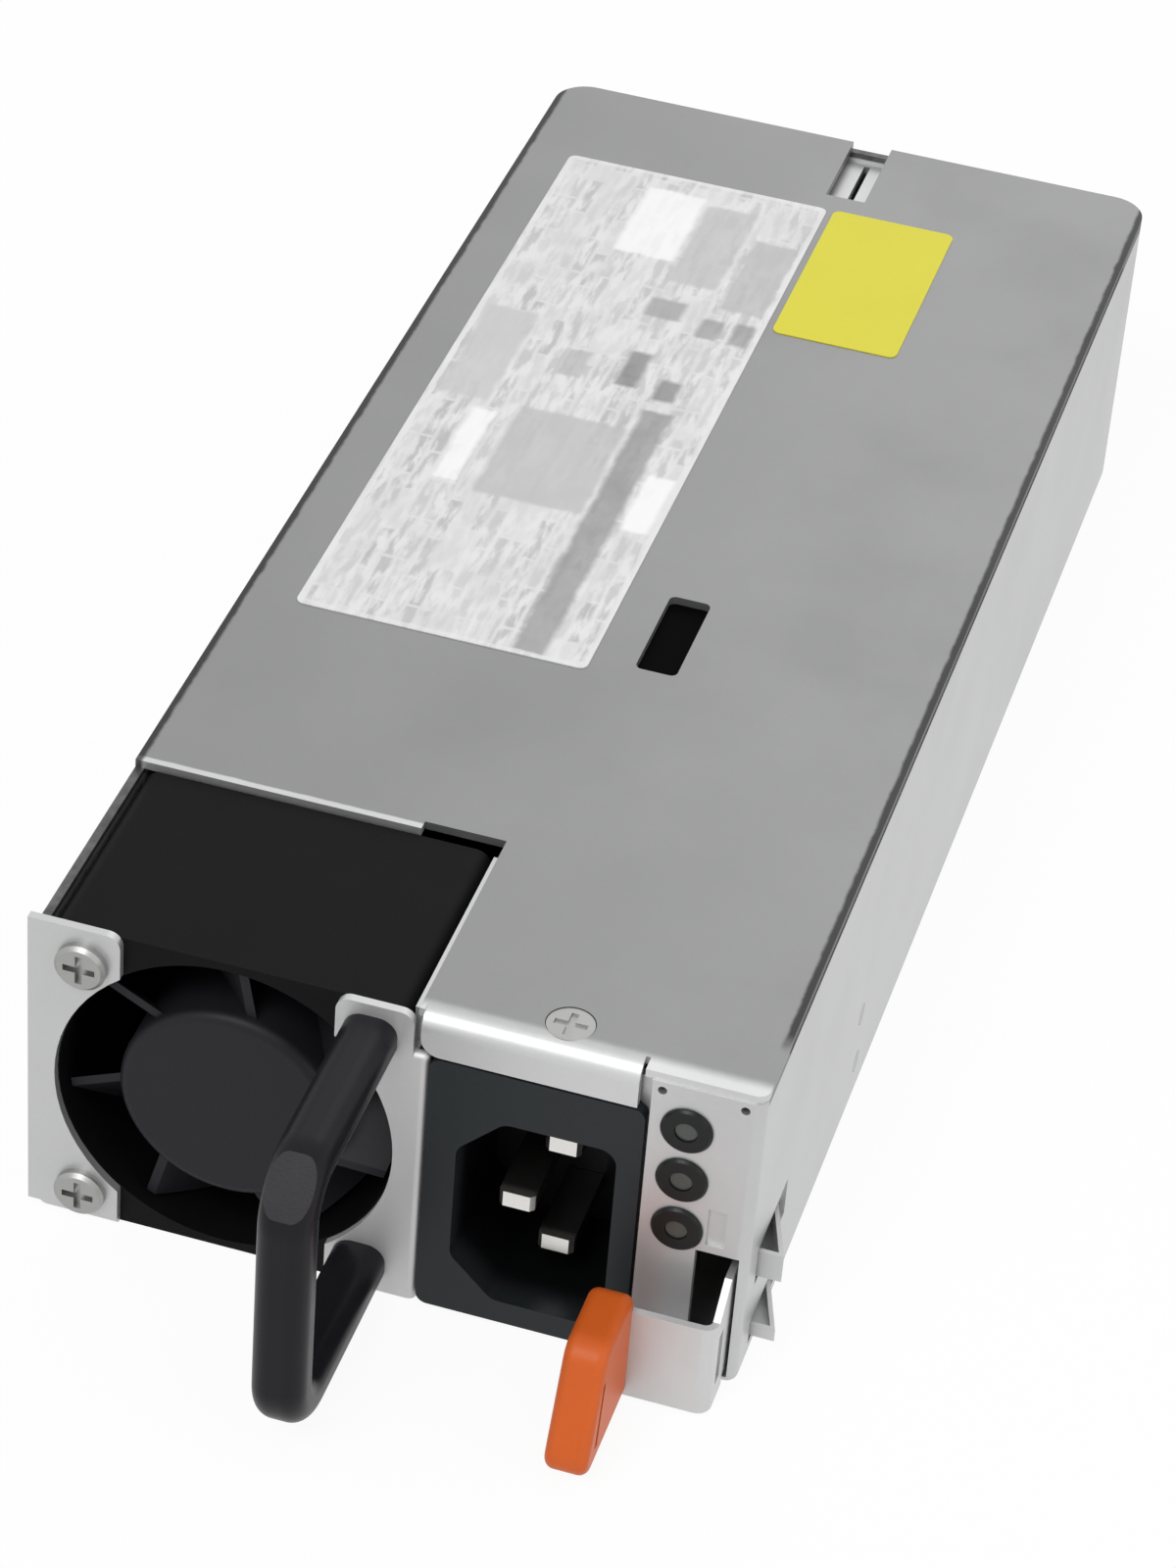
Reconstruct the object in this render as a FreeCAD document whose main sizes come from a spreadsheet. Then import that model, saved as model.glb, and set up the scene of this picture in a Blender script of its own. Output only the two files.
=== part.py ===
import FreeCAD, Part
import math
import os
import Sketcher
from FreeCAD import Placement, Rotation, Vector

# Hot swap server power supply in a 1U sheet-metal housing, in millimetres.
# Frame: X to the right seen from the front, Y to the rear, Z up. The origin is the centre of
# the housing's bottom face, so the front face lies at Y = -body_length / 2.
# Every sub-part takes its sizes from the sheet below.

SIZES = [
    ("body_length", 190.0, "housing, front face to rear face"),
    ("body_height", 40.6, "housing, bottom face to top face"),
    ("chassis_sheet", 1.0, "thickness of the chassis sheet"),
    ("cover_sheet", 1.0, "thickness of the cover sheet"),
    ("bracket_sheet", 1.0, "thickness of the centre bracket"),
    ("rear_corner", 4.5, "outer bend radius at the rear corners"),
    ("front_corner", 1.3, "outer bend radius at the front corners"),
    ("floor_bend", 0.9, "outer bend radius along the bottom edges"),
    ("seam", 0.25, "open seam between cover and walls"),
    ("side_seam", 0.45, "open seam under the cover's sides"),
    ("fit", 0.1, "clearance where pieces slide together"),
    ("bore_fit", 0.05, "radial clearance round a shaft or rivet"),
    ("seam_front", 9.3, "front face to the open seam under the cover's side"),
    ("seam_rear", 15.3, "rear face to the open seam"),
    ("fan_depth", 28.0, "fan frame, front to rear"),
    ("fan_drop", 0.6, "top face to the fan frame"),
    ("fan_wall", 1.0, "fan frame, thinnest wall beside the bore"),
    ("screw_inset", 4.0, "fan frame's sides to its screw holes"),
    ("fan_hole", 3.5, "fan screw holes, diameter"),
    ("fan_corner", 2.0, "fan frame corner radius"),
    ("fan_inset", 1.4, "left face to fan frame"),
    ("stop_lip", 0.8, "stop lip beyond the left face"),
    ("divider_gap", 2.6, "fan frame to the inlet flange"),
    ("fan_clearance", 0.5, "fan frame to the cover's edge behind it"),
    ("tab_reach", 9.6, "left face to the end of the left fan tabs"),
    ("tab_corner", 1.6, "corner radius of the fan tabs"),
    ("opening_margin", 0.15, "fan opening beyond the fan bore"),
    ("hub_radius", 12.4, "fan hub, radius"),
    ("hub_set_back", 0.2, "fan frame face to the hub face"),
    ("hub_round", 1.2, "fan hub, rounded front edge"),
    ("hub_wall", 1.0, "fan hub wall"),
    ("blade_count", 7, "fan blades"),
    ("blade_gap", 0.6, "blade tip to bore"),
    ("blade_root", 9.0, "axis to the inner blade section"),
    ("blade_thick", 1.1, "blade thickness"),
    ("blade_lead", 7.5, "half of the blade's turn across the hub"),
    ("yoke_wall", 0.7, "rotor yoke wall"),
    ("magnet_thick", 1.3, "rotor magnet thickness"),
    ("air_gap", 0.4, "magnet to stator"),
    ("shaft_radius", 1.5, "fan shaft"),
    ("bearing_radius", 4.0, "fan bearing, outer radius"),
    ("bearing_length", 3.0, "fan bearing, length"),
    ("tube_wall", 1.0, "bearing tube wall"),
    ("strut_thick", 2.5, "fan strut, front to rear"),
    ("strut_width", 2.2, "fan strut, across"),
    ("strut_count", 5, "fan struts"),
    ("base_gap", 0.6, "hub to the struts' disc"),
    ("stator_poles", 4, "stator poles"),
    ("stator_length", 7.0, "stator core, length"),
    ("coil_rise", 1.6, "coil beyond the stator core at each end"),
    ("driver_board", 1.0, "fan driver board, thickness"),
    ("screw_head", 2.9, "pan head, radius"),
    ("head_height", 1.2, "pan head, height"),
    ("screw_radius", 1.45, "screw shank, radius"),
    ("screw_length", 9.0, "fan screw below its head"),
    ("recess_length", 3.6, "cross recess, tip to tip"),
    ("recess_width", 0.8, "cross recess, width"),
    ("recess_depth", 0.8, "cross recess, depth"),
    ("handle_bar", 6.0, "handle bar, width"),
    ("handle_thick", 5.4, "handle bar, thickness"),
    ("handle_round", 2.2, "handle bar, rounding of its section"),
    ("handle_reach", 25.0, "front face to the grip's centre line"),
    ("handle_bend", 5.2, "bend radius of the handle's centre line"),
    ("handle_insert", 6.0, "screw depth in the handle"),
    ("knee_flat", 7.1, "bend's centre to the flat on the handle's upper knee"),
    ("led_flange", 12.1, "right face to the left edge of the lamp flange"),
    ("inlet_gap", 0.4, "inlet to the lamp flange"),
    ("inlet_width", 23.5, "inlet flange, across"),
    ("inlet_drop", 5.6, "top face to the inlet flange's upper edge"),
    ("inlet_flange", 1.5, "inlet flange, thickness"),
    ("inlet_shoulder", 1.6, "inlet flange beyond its body, at the sides"),
    ("inlet_foot", 2.2, "bottom face to the inlet body"),
    ("inlet_roof", 30.6, "bottom face to the top of the inlet body"),
    ("inlet_depth", 20.0, "inlet body, front to rear"),
    ("recess_left", 3.5, "inlet flange edge to the plug recess"),
    ("recess_across", 17.4, "plug recess, short side"),
    ("recess_high", 25.1, "plug recess, long side"),
    ("recess_base", 3.4, "bottom face to the plug recess"),
    ("recess_deep", 16.5, "plug recess, depth"),
    ("recess_round", 2.0, "plug recess, corner radius"),
    ("recess_chamfer", 5.0, "plug recess, cut corners"),
    ("pin_pitch", 14.0, "line pin to neutral pin"),
    ("pin_offset", 4.0, "earth pin beside the other two"),
    ("pin_side", 10.3, "left edge of the plug recess to the line pin"),
    ("pin_wide", 4.0, "pin, wide side"),
    ("pin_thick", 2.0, "pin, thin side"),
    ("pin_back", 5.0, "front face to the pin tips"),
    ("earth_reach", 2.5, "earth pin beyond the other two"),
    ("pin_tail", 24.5, "front face to the pin tails"),
    ("lead_radius", 1.1, "inlet lead, radius"),
    ("lead_bend", 2.0, "inlet lead, bend radius"),
    ("lip_left", 1.1, "cover lip beyond the inlet's left edge"),
    ("lip_right", 1.0, "cover lip short of the inlet's right edge"),
    ("lip_gap", 0.3, "inlet flange to the lip's lower edge"),
    ("lip_bend", 2.2, "outer bend radius of the lip"),
    ("notch_lap", 1.7, "fan notch beyond the inlet's left edge"),
    ("notch_step", 1.3, "step in the cover's edge behind the fan"),
    ("notch_step_at", 33.0, "left face to that step"),
    ("cover_hem", 5.0, "cover hem inside the walls, height"),
    ("hem_sheet", 0.8, "cover hem, thickness"),
    ("slot_left", 46.2, "left face to the cover slot"),
    ("slot_width", 4.9, "cover slot, across"),
    ("slot_front", 66.4, "front face to the cover slot"),
    ("slot_length", 15.0, "cover slot, front to rear"),
    ("key_left", 40.0, "left face to the rear key notch"),
    ("key_width", 5.2, "rear key notch, across"),
    ("key_length", 14.5, "rear key notch, front to rear"),
    ("key_floor", 1.2, "cover's underside to the plate under the key notch"),
    ("key_margin", 1.6, "plate beyond the key notch"),
    ("dimple_left", 13.7, "inlet's left edge to the cover screw"),
    ("dimple_front", 4.3, "front face to the cover screw"),
    ("dimple_radius", 2.6, "cover screw head, radius"),
    ("lamp_left", 4.1, "left edge of the lamp flange to the lamps"),
    ("lamp_top", 6.6, "top face to the highest lamp"),
    ("relief_in", 1.1, "lamp flange's top corners to the bend reliefs"),
    ("relief_radius", 0.5, "bend reliefs"),
    ("lamp_pitch", 6.8, "lamp to lamp"),
    ("lamp_count", 3, "lamps"),
    ("bezel_radius", 2.85, "lamp ring, outer radius"),
    ("bezel_neck", 1.9, "lamp ring, radius through the flange"),
    ("bezel_rise", 0.5, "lamp ring in front of the flange"),
    ("pipe_radius", 1.2, "light pipe, radius"),
    ("led_notch_left", 6.3, "left edge of the lamp flange to the latch notch"),
    ("led_notch_high", 18.0, "bottom face to the top of the latch notch"),
    ("groove_depth", 0.4, "pressed groove in the lamp flange"),
    ("leaf_thick", 0.8, "latch leaf, thickness"),
    ("leaf_gap", 0.4, "latch leaf to the wall"),
    ("leaf_low", 1.8, "bottom face to the leaf"),
    ("leaf_high", 15.6, "bottom face to the top of the leaf"),
    ("leaf_rear", 53.0, "front face to the leaf's rear end"),
    ("pivot_rear", 50.0, "front face to the latch rivets"),
    ("rivet_low", 5.5, "bottom face to the lower latch rivet"),
    ("rivet_pitch", 7.0, "latch rivet to latch rivet"),
    ("rivet_radius", 1.25, "latch rivet shank"),
    ("rivet_head", 2.4, "latch rivet head, radius"),
    ("rivet_play", 0.3, "play of the leaf on its rivets"),
    ("plate_front", 5.8, "front face to the latch plate's face"),
    ("plate_low", 0.4, "bottom face to the latch plate"),
    ("plate_high", 12.5, "bottom face to the top of the latch plate"),
    ("plate_bend", 1.6, "outer bend radius of the latch plate"),
    ("barb_front", 5.4, "front face to the barbs' steep side"),
    ("barb_rear", 13.2, "front face to where the barbs meet the wall"),
    ("barb_reach", 2.7, "barbs beyond the right face"),
    ("barb_wall", 0.5, "barbs, wall thickness"),
    ("upper_barb_low", 11.4, "bottom face to the upper barb"),
    ("upper_barb_high", 15.0, "bottom face to the top of the upper barb"),
    ("lower_barb_low", 2.7, "bottom face to the lower barb"),
    ("lower_barb_high", 4.3, "bottom face to the top of the lower barb"),
    ("window_margin", 0.7, "wall window beyond a barb"),
    ("tab_width", 4.8, "release tab, across"),
    ("tab_side", 10.6, "right face to the release tab"),
    ("tab_front", 21.5, "front face to the release tab's foremost point"),
    ("tab_rear", 4.4, "front face to the release tab's rear side"),
    ("tab_low", 0.5, "bottom face to the release tab"),
    ("tab_high", 14.8, "bottom face to the top of the release tab"),
    ("tab_slope", 6.5, "lean of the release tab's front"),
    ("tab_round", 1.1, "release tab, rounded edges"),
    ("film_thick", 0.3, "insulating film"),
    ("board_low", 5.0, "bottom face to the main board"),
    ("board_thick", 1.6, "circuit boards, thickness"),
    ("board_side", 2.6, "main board to the left wall's inner side"),
    ("board_right", 4.5, "right face to the main board"),
    ("board_front", 25.5, "front face to the main board beside the fan"),
    ("board_rear", 3.0, "rear face to the main board"),
    ("board_fan_gap", 4.0, "fan frame to the main board"),
    ("edge_width", 56.0, "card edge, across"),
    ("edge_reach", 10.5, "card edge beyond the rear face"),
    ("finger_width", 1.5, "gold finger, across"),
    ("finger_length", 7.5, "gold finger, front to rear"),
    ("finger_pitch", 2.54, "gold finger to gold finger"),
    ("finger_count", 20, "gold fingers on each side"),
    ("finger_thick", 0.1, "gold finger, thickness"),
    ("spacer_radius", 2.8, "board spacer, radius"),
    ("spacer_inset", 5.0, "board edges to the spacers"),
    ("vent_width", 3.0, "rear vent, across"),
    ("vent_height", 19.0, "rear vent, height"),
    ("vent_low", 13.5, "bottom face to the rear vents"),
    ("vent_pitch", 5.2, "rear vent to rear vent"),
    ("vent_count", 12, "rear vents"),
    ("relay_left", 9.0, "main board's left edge to the relay"),
    ("relay_front", 38.0, "front face to the relay"),
    ("relay_long", 18.0, "relay, front to rear"),
    ("relay_wide", 12.5, "relay, across"),
    ("relay_high", 15.5, "relay, height"),
    ("fuse_left", 22.5, "main board's left edge to the fuse"),
    ("fuse_front", 46.5, "front face to the fuse"),
    ("fuse_radius", 2.6, "fuse, radius"),
    ("fuse_long", 18.0, "fuse, length"),
    ("fuse_rise", 3.6, "main board to the fuse's centre line"),
    ("x_cap_side", 1.6, "fan header to the X capacitor"),
    ("x_cap_front", 33.4, "front face to the X capacitor"),
    ("x_cap_right", 8.0, "main board's right edge to the X capacitor"),
    ("x_cap_deep", 9.8, "X capacitor, front to rear"),
    ("x_cap_high", 18.0, "X capacitor, height"),
    ("emi_right", 13.2, "main board's right edge to the filter choke's axis"),
    ("emi_front", 56.0, "front face to the filter choke's axis"),
    ("emi_radius", 10.0, "filter choke core, outer radius"),
    ("emi_bore", 5.5, "filter choke core, inner radius"),
    ("emi_high", 10.0, "filter choke core, height"),
    ("wire_layer", 1.2, "wire wound on a core"),
    ("boost_right", 16.6, "main board's right edge to the boost choke's middle"),
    ("boost_front", 88.0, "front face to the boost choke's axis"),
    ("boost_radius", 10.0, "boost choke core, outer radius"),
    ("boost_bore", 5.0, "boost choke core, inner radius"),
    ("boost_wide", 7.0, "boost choke core, across"),
    ("bulk_radius", 11.0, "bulk capacitor, radius"),
    ("bulk_long", 38.0, "bulk capacitor, length"),
    ("bulk_front", 57.0, "front face to the bulk capacitors"),
    ("bulk_left", 1.2, "main board's left edge to the bulk capacitors"),
    ("bulk_gap", 0.5, "bulk capacitor to bulk capacitor"),
    ("bulk_bead", 0.7, "bulk capacitor, depth of the rolled bead"),
    ("sink_long", 40.0, "primary heat sink, front to rear"),
    ("sink_front", 70.0, "front face to the primary heat sink"),
    ("sink_base", 2.5, "heat sink base, thickness"),
    ("sink_fin", 3.5, "heat sink fins, depth"),
    ("sink_fin_thick", 1.5, "heat sink fins, thickness"),
    ("sink_high", 25.0, "heat sinks, height"),
    ("fin_pitch", 5.0, "heat sink fins, centre to centre"),
    ("transistor_wide", 10.0, "power transistor, across"),
    ("transistor_thick", 4.5, "power transistor, thickness"),
    ("transistor_high", 15.0, "power transistor, height"),
    ("transistor_rise", 6.0, "main board to the power transistors"),
    ("transistor_pitch", 12.0, "power transistor to power transistor"),
    ("transistor_lead", 0.8, "power transistor leads, thickness"),
    ("core_wide", 34.0, "transformer core, across"),
    ("core_deep", 14.0, "transformer core, front to rear"),
    ("core_high", 26.0, "transformer core, height"),
    ("core_leg", 10.0, "transformer core, middle leg"),
    ("core_yoke", 4.5, "transformer core, upper and lower yoke"),
    ("core_rear", 52.0, "rear face to the transformer's middle"),
    ("core_x", 12.0, "middle of the housing to the transformer's middle"),
    ("winding_thick", 7.2, "transformer winding, thickness"),
    ("control_left", 21.8, "main board's left edge to the control board"),
    ("control_rear", 69.0, "rear face to the control board's front edge"),
    ("control_long", 38.0, "control board, front to rear"),
    ("control_high", 25.0, "control board, height"),
    ("second_rear", 66.0, "rear face to the secondary heat sink's front end"),
    ("second_long", 36.0, "secondary heat sink, front to rear"),
    ("output_radius", 4.0, "output capacitor, radius"),
    ("output_high", 15.0, "output capacitor, height"),
    ("output_pitch", 9.0, "output capacitor to output capacitor"),
    ("output_count", 6, "output capacitors"),
    ("output_rear", 25.0, "rear face to the output capacitors"),
    ("inductor_wide", 13.0, "output inductor, across"),
    ("inductor_high", 11.0, "output inductor, height"),
    ("bar_wide", 14.0, "output bus bar, across"),
    ("bar_high", 3.0, "output bus bar, height"),
    ("bar_long", 9.0, "output bus bar, front to rear"),
    ("bar_gap", 8.0, "output bus bar to output bus bar"),
    ("plug_wide", 8.0, "fan plug, across"),
    ("plug_deep", 4.5, "fan plug, front to rear"),
    ("header_high", 4.0, "fan header, height"),
    ("plug_high", 6.0, "fan plug, height"),
    ("fan_lead_radius", 1.2, "fan lead, radius"),
    ("fan_lead_bend", 5.0, "fan lead, bend radius"),
    ("fan_lead_rise", 8.0, "fan lead above the fan's middle"),
    ("fan_lead_side", 1.5, "fan frame's side to the fan lead"),
    ("board_screw", 1.2, "board screw shank, radius"),
    ("board_head", 2.4, "board screw head, radius"),
    ("bracket_rivet", 1.5, "bracket rivet shank, radius"),
    ("foot_length", 6.0, "bracket feet, across"),
]

doc = FreeCAD.newDocument("power_supply")
sheet = doc.addObject("Spreadsheet::Sheet", "Sizes")
for row, (alias, value, meaning) in enumerate(SIZES, 1):
    sheet.set(f"A{row}", meaning)
    sheet.set(f"B{row}", str(value))
    sheet.setAlias(f"B{row}", alias)
doc.recompute()


class Size:
    """A length that knows its value and the sheet formula that it comes from."""

    def __init__(self, value, formula):
        self.value = value
        self.formula = formula

    def __add__(self, other):
        other = as_size(other)
        return Size(self.value + other.value, f"({self.formula} + {other.formula})")

    def __sub__(self, other):
        other = as_size(other)
        return Size(self.value - other.value, f"({self.formula} - {other.formula})")

    def __mul__(self, other):
        other = as_size(other)
        return Size(self.value * other.value, f"{self.formula} * {other.formula}")

    def __truediv__(self, other):
        other = as_size(other)
        return Size(self.value / other.value, f"{self.formula} / {other.formula}")

    def __neg__(self):
        return Size(-self.value, f"(-{self.formula})")

    def __radd__(self, other):
        return as_size(other) + self

    def __rsub__(self, other):
        return as_size(other) - self

    def __rmul__(self, other):
        return as_size(other) * self


def as_size(number):
    return number if isinstance(number, Size) else Size(number, repr(number))


def grouped(size):
    """The same size with its formula in brackets, ready to be multiplied."""
    return Size(size.value, f"({size.formula})")


class Table:
    """The sheet's sizes by name."""

    def __getattr__(self, alias):
        return Size(float(sheet.get(alias)), f"Sizes.{alias}")


s = Table()
nodes = []


def bind(thing, path, size):
    thing.setExpression(path, as_size(size).formula)


# ---- PartDesign: bodies, sketches and features ----

def new_body(name):
    body = doc.addObject("PartDesign::Body", name)
    nodes.append(body)
    return body


def origin_feature(body, role):
    return [feature for feature in body.Origin.OriginFeatures if feature.Role == role][0]


def new_sketch(body, name, plane, at, origin=(0, 0)):
    """A sketch parallel to one of the body's planes, at a coordinate on the third axis."""
    drawing = body.newObject("Sketcher::SketchObject", name)
    drawing.AttachmentSupport = [(origin_feature(body, f"{plane}_Plane"), "")]
    drawing.MapMode = "FlatFace"
    bind(drawing, "AttachmentOffset.Base.x", origin[0])
    bind(drawing, "AttachmentOffset.Base.y", origin[1])
    bind(drawing, "AttachmentOffset.Base.z", -as_size(at) if plane == "XZ" else at)
    return drawing


def constrain(drawing, constraints, driven):
    """Add plain constraints, then those whose value the sheet drives."""
    drawing.addConstraint(constraints)
    for kind, places, size in driven:
        index = drawing.addConstraint(Sketcher.Constraint(kind, *places, size.value))
        bind(drawing, f"Constraints[{index}]", size)


def round_corner(spots, index, radius):
    """Where a rounded corner starts, its middle point and where it ends."""
    corner = spots[index]
    back = (spots[index - 1] - corner).normalize()
    ahead = (spots[(index + 1) % len(spots)] - corner).normalize()
    half = back.getAngle(ahead) / 2
    setback = radius / math.tan(half)
    middle = corner + (back + ahead).normalize() * (radius / math.sin(half) - radius)
    return corner + back * setback, middle, corner + ahead * setback


def arc_ends(start, middle, end):
    """Which sketch points (1 or 2) begin and finish an arc: sketches count them anticlockwise."""
    turn_left = (middle - start).cross(end - middle).z > 0
    return (1, 2) if turn_left else (2, 1)


def draw_outline(drawing, corners):
    """A closed outline through corners (x, y) or, where it is rounded, (x, y, radius)."""
    corners = [tuple(as_size(part) for part in corner) for corner in corners]
    count = len(corners)
    spots = [Vector(corner[0].value, corner[1].value, 0) for corner in corners]
    arcs = {i: round_corner(spots, i, corners[i][2].value)
            for i in range(count) if len(corners[i]) == 3}
    starts = [arcs[i][2] if i in arcs else spots[i] for i in range(count)]
    ends = [arcs[i][0] if i in arcs else spots[i] for i in range(count)]
    first = len(drawing.Geometry)
    drawing.addGeometry([Part.LineSegment(starts[i], ends[(i + 1) % count]) for i in range(count)])
    constraints = []
    driven = []
    for i, corner in enumerate(corners):
        arriving = first + (i - 1) % count
        leaving = first + i
        if i in arcs:
            arc = drawing.addGeometry(Part.Arc(*arcs[i]))
            arc_start, arc_end = arc_ends(*arcs[i])
            spot = drawing.addGeometry(Part.Point(spots[i]), True)
            constraints += [
                Sketcher.Constraint("PointOnObject", spot, 1, arriving),
                Sketcher.Constraint("PointOnObject", spot, 1, leaving),
                Sketcher.Constraint("Tangent", arriving, 2, arc, arc_start),
                Sketcher.Constraint("Tangent", arc, arc_end, leaving, 1),
            ]
            driven.append(("Radius", (arc,), corner[2]))
            holder = (spot, 1)
        else:
            constraints.append(Sketcher.Constraint("Coincident", arriving, 2, leaving, 1))
            holder = (leaving, 1)
        driven.append(("DistanceX", holder, corner[0]))
        driven.append(("DistanceY", holder, corner[1]))
    constrain(drawing, constraints, driven)


def draw_circle(drawing, x, y, radius):
    x, y, radius = as_size(x), as_size(y), as_size(radius)
    circle = drawing.addGeometry(Part.Circle(Vector(x.value, y.value, 0), Vector(0, 0, 1), radius.value))
    constrain(drawing, [], [("DistanceX", (circle, 3), x), ("DistanceY", (circle, 3), y),
                            ("Radius", (circle,), radius)])


class Circle:
    """A round outline, among outlines given as lists of corners."""

    def __init__(self, x, y, radius):
        self.place = (x, y, radius)


def draw(drawing, outlines):
    for outline in outlines:
        if isinstance(outline, Circle):
            draw_circle(drawing, *outline.place)
        else:
            draw_outline(drawing, outline)


def box_outline(x_low, x_high, y_low, y_high, radius=None):
    ends = () if radius is None else (radius,)
    return [(x_low, y_low, *ends), (x_high, y_low, *ends), (x_high, y_high, *ends), (x_low, y_high, *ends)]


def pad(body, name, plane, low, high, *outlines):
    """Material between two coordinates on the axis that the plane leaves out."""
    drawing = new_sketch(body, name + "_outline", plane, low)
    draw(drawing, outlines)
    feature = body.newObject("PartDesign::Pad", name)
    feature.Profile = drawing
    feature.Reversed = plane == "XZ"
    bind(feature, "Length", as_size(high) - as_size(low))
    return feature


def pocket(body, name, plane, low, high, *outlines):
    """A cut between two coordinates on the axis that the plane leaves out."""
    drawing = new_sketch(body, name + "_outline", plane, low)
    draw(drawing, outlines)
    feature = body.newObject("PartDesign::Pocket", name)
    feature.Profile = drawing
    feature.Reversed = plane != "XZ"
    bind(feature, "Length", as_size(high) - as_size(low))
    return feature


def turn(body, name, kind, plane, at, origin, axis, *outlines):
    """A Revolution or Groove about the sketch's own H_Axis or V_Axis."""
    drawing = new_sketch(body, name + "_outline", plane, at, origin)
    draw(drawing, outlines)
    feature = body.newObject(f"PartDesign::{kind}", name)
    feature.Profile = drawing
    feature.ReferenceAxis = (drawing, [axis])
    feature.Angle = 360
    return feature


def repeat_round(body, name, features, count):
    """The features again round the axis of the last one's sketch."""
    pattern = body.newObject("PartDesign::PolarPattern", name)
    pattern.Originals = features
    pattern.Axis = (features[-1].Profile[0], ["N_Axis"])
    pattern.Angle = 360
    pattern.Occurrences = round(count.value)
    body.Tip = pattern
    return pattern


def repeat_along(body, name, features, axis, pitch, count, backwards=False):
    pattern = body.newObject("PartDesign::LinearPattern", name)
    pattern.Originals = features
    pattern.Direction = (origin_feature(body, f"{axis}_Axis"), [""])
    pattern.Reversed = backwards
    bind(pattern, "Length", grouped(as_size(pitch)) * (round(count.value) - 1))
    pattern.Occurrences = round(count.value)
    body.Tip = pattern
    return pattern


def round_edges(body, name, kind, radius, spots):
    """Fillet or Chamfer the edges that pass through the given points."""
    doc.recompute()
    base = body.Tip
    places = [Part.Vertex(*(as_size(part).value for part in spot)) for spot in spots]
    chosen = [f"Edge{number}" for number, edge in enumerate(base.Shape.Edges, 1)
              if any(edge.distToShape(place)[0] < 1e-4 for place in places)]
    feature = body.newObject(f"PartDesign::{kind}", name)
    feature.Base = (base, chosen)
    bind(feature, "Radius" if kind == "Fillet" else "Size", radius)
    return feature


# ---- Part primitives ----

def block(name, x, y, z, node=True):
    """A box from its (low, high) coordinates along each axis."""
    box = doc.addObject("Part::Box", name)
    for side, axis, (low, high) in zip(("Length", "Width", "Height"), "xyz", (x, y, z)):
        bind(box, side, as_size(high) - as_size(low))
        bind(box, f"Placement.Base.{axis}", low)
    if node:
        nodes.append(box)
    return box


TURNS = {
    "X": Rotation(Vector(0, 1, 0), 90),
    "Y": Rotation(Vector(1, 0, 0), -90),
    "Z": Rotation(),
}


def rod(name, axis, across, radius, low, high, node=True):
    """A cylinder along an axis, at its coordinates on the two other axes."""
    cylinder = doc.addObject("Part::Cylinder", name)
    bind(cylinder, "Radius", radius)
    bind(cylinder, "Height", as_size(high) - as_size(low))
    cylinder.Placement = Placement(Vector(), TURNS[axis])
    others = [letter for letter in "XYZ" if letter != axis]
    for letter, place in ((axis, low), (others[0], across[0]), (others[1], across[1])):
        bind(cylinder, f"Placement.Base.{letter.lower()}", place)
    if node:
        nodes.append(cylinder)
    return cylinder


def combine(name, kind, pieces):
    """One node from several pieces: Part::MultiFuse, or Part::Compound for separate solids."""
    whole = doc.addObject(kind, name)
    setattr(whole, "Links" if kind == "Part::Compound" else "Shapes", pieces)
    nodes.append(whole)
    return whole


def cut_away(name, base, tool, node=True):
    whole = doc.addObject("Part::Cut", name)
    whole.Base = base
    whole.Tool = tool
    if node:
        nodes.append(whole)
    return whole


# ---- Places that several sub-parts share ----

fan_size = s.body_height - s.fan_drop
body_width = grouped(s.fan_inset + fan_size + s.divider_gap + s.inlet_width + s.inlet_gap + s.led_flange)
left = -body_width / 2
right = body_width / 2
front = -s.body_length / 2
rear = s.body_length / 2
inner_left = left + s.chassis_sheet
inner_right = right - s.chassis_sheet
top = s.body_height
cover_low = top - s.cover_sheet
inlet_high = top - s.inlet_drop
lip_low = inlet_high + s.lip_gap
past = s.chassis_sheet * 2

fan_left = left + s.fan_inset
fan_x = fan_left + fan_size / 2
fan_z = fan_size / 2
fan_front = front + s.chassis_sheet
fan_rear = fan_front + s.fan_depth
bore = fan_size / 2 - s.fan_wall
fan_pitch = grouped(fan_size - s.screw_inset * 2)
screw_low = fan_z - fan_pitch / 2
screw_high = fan_z + fan_pitch / 2
screw_left = fan_x - fan_pitch / 2
screw_right = fan_x + fan_pitch / 2

led_left = right - s.led_flange
inlet_right = led_left - s.inlet_gap
inlet_left = inlet_right - s.inlet_width
inlet_back = front + s.inlet_flange + s.fit
bay_right = inlet_left - s.lip_left
bay_rear = fan_rear + s.fan_clearance
lamp_x = led_left + s.lamp_left

leaf_outer = inner_right - s.leaf_gap
leaf_inner = leaf_outer - s.leaf_thick
pivot_y = front + s.pivot_rear

board_high = s.board_low + s.board_thick
board_left = inner_left + s.board_side
board_end = right - s.board_right
board_y = fan_rear + s.board_fan_gap
lead_x = fan_x + fan_size / 2 - s.fan_lead_side
hub_front = fan_front + s.hub_set_back
hub_inside = hub_front + s.hub_wall
disc_front = fan_rear - s.strut_thick
hub_end = disc_front - s.base_gap
yoke_radius = s.hub_radius - s.hub_wall
magnet_radius = yoke_radius - s.yoke_wall
stator_radius = magnet_radius - s.magnet_thick - s.air_gap
tube_radius = s.bearing_radius + s.bore_fit + s.tube_wall
tube_front = hub_inside + s.yoke_wall * 3
coil_front = tube_front + s.tube_wall
stator_front = coil_front + s.coil_rise
stator_rear = stator_front + s.stator_length


# ---- Sheet-metal housing ----

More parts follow.
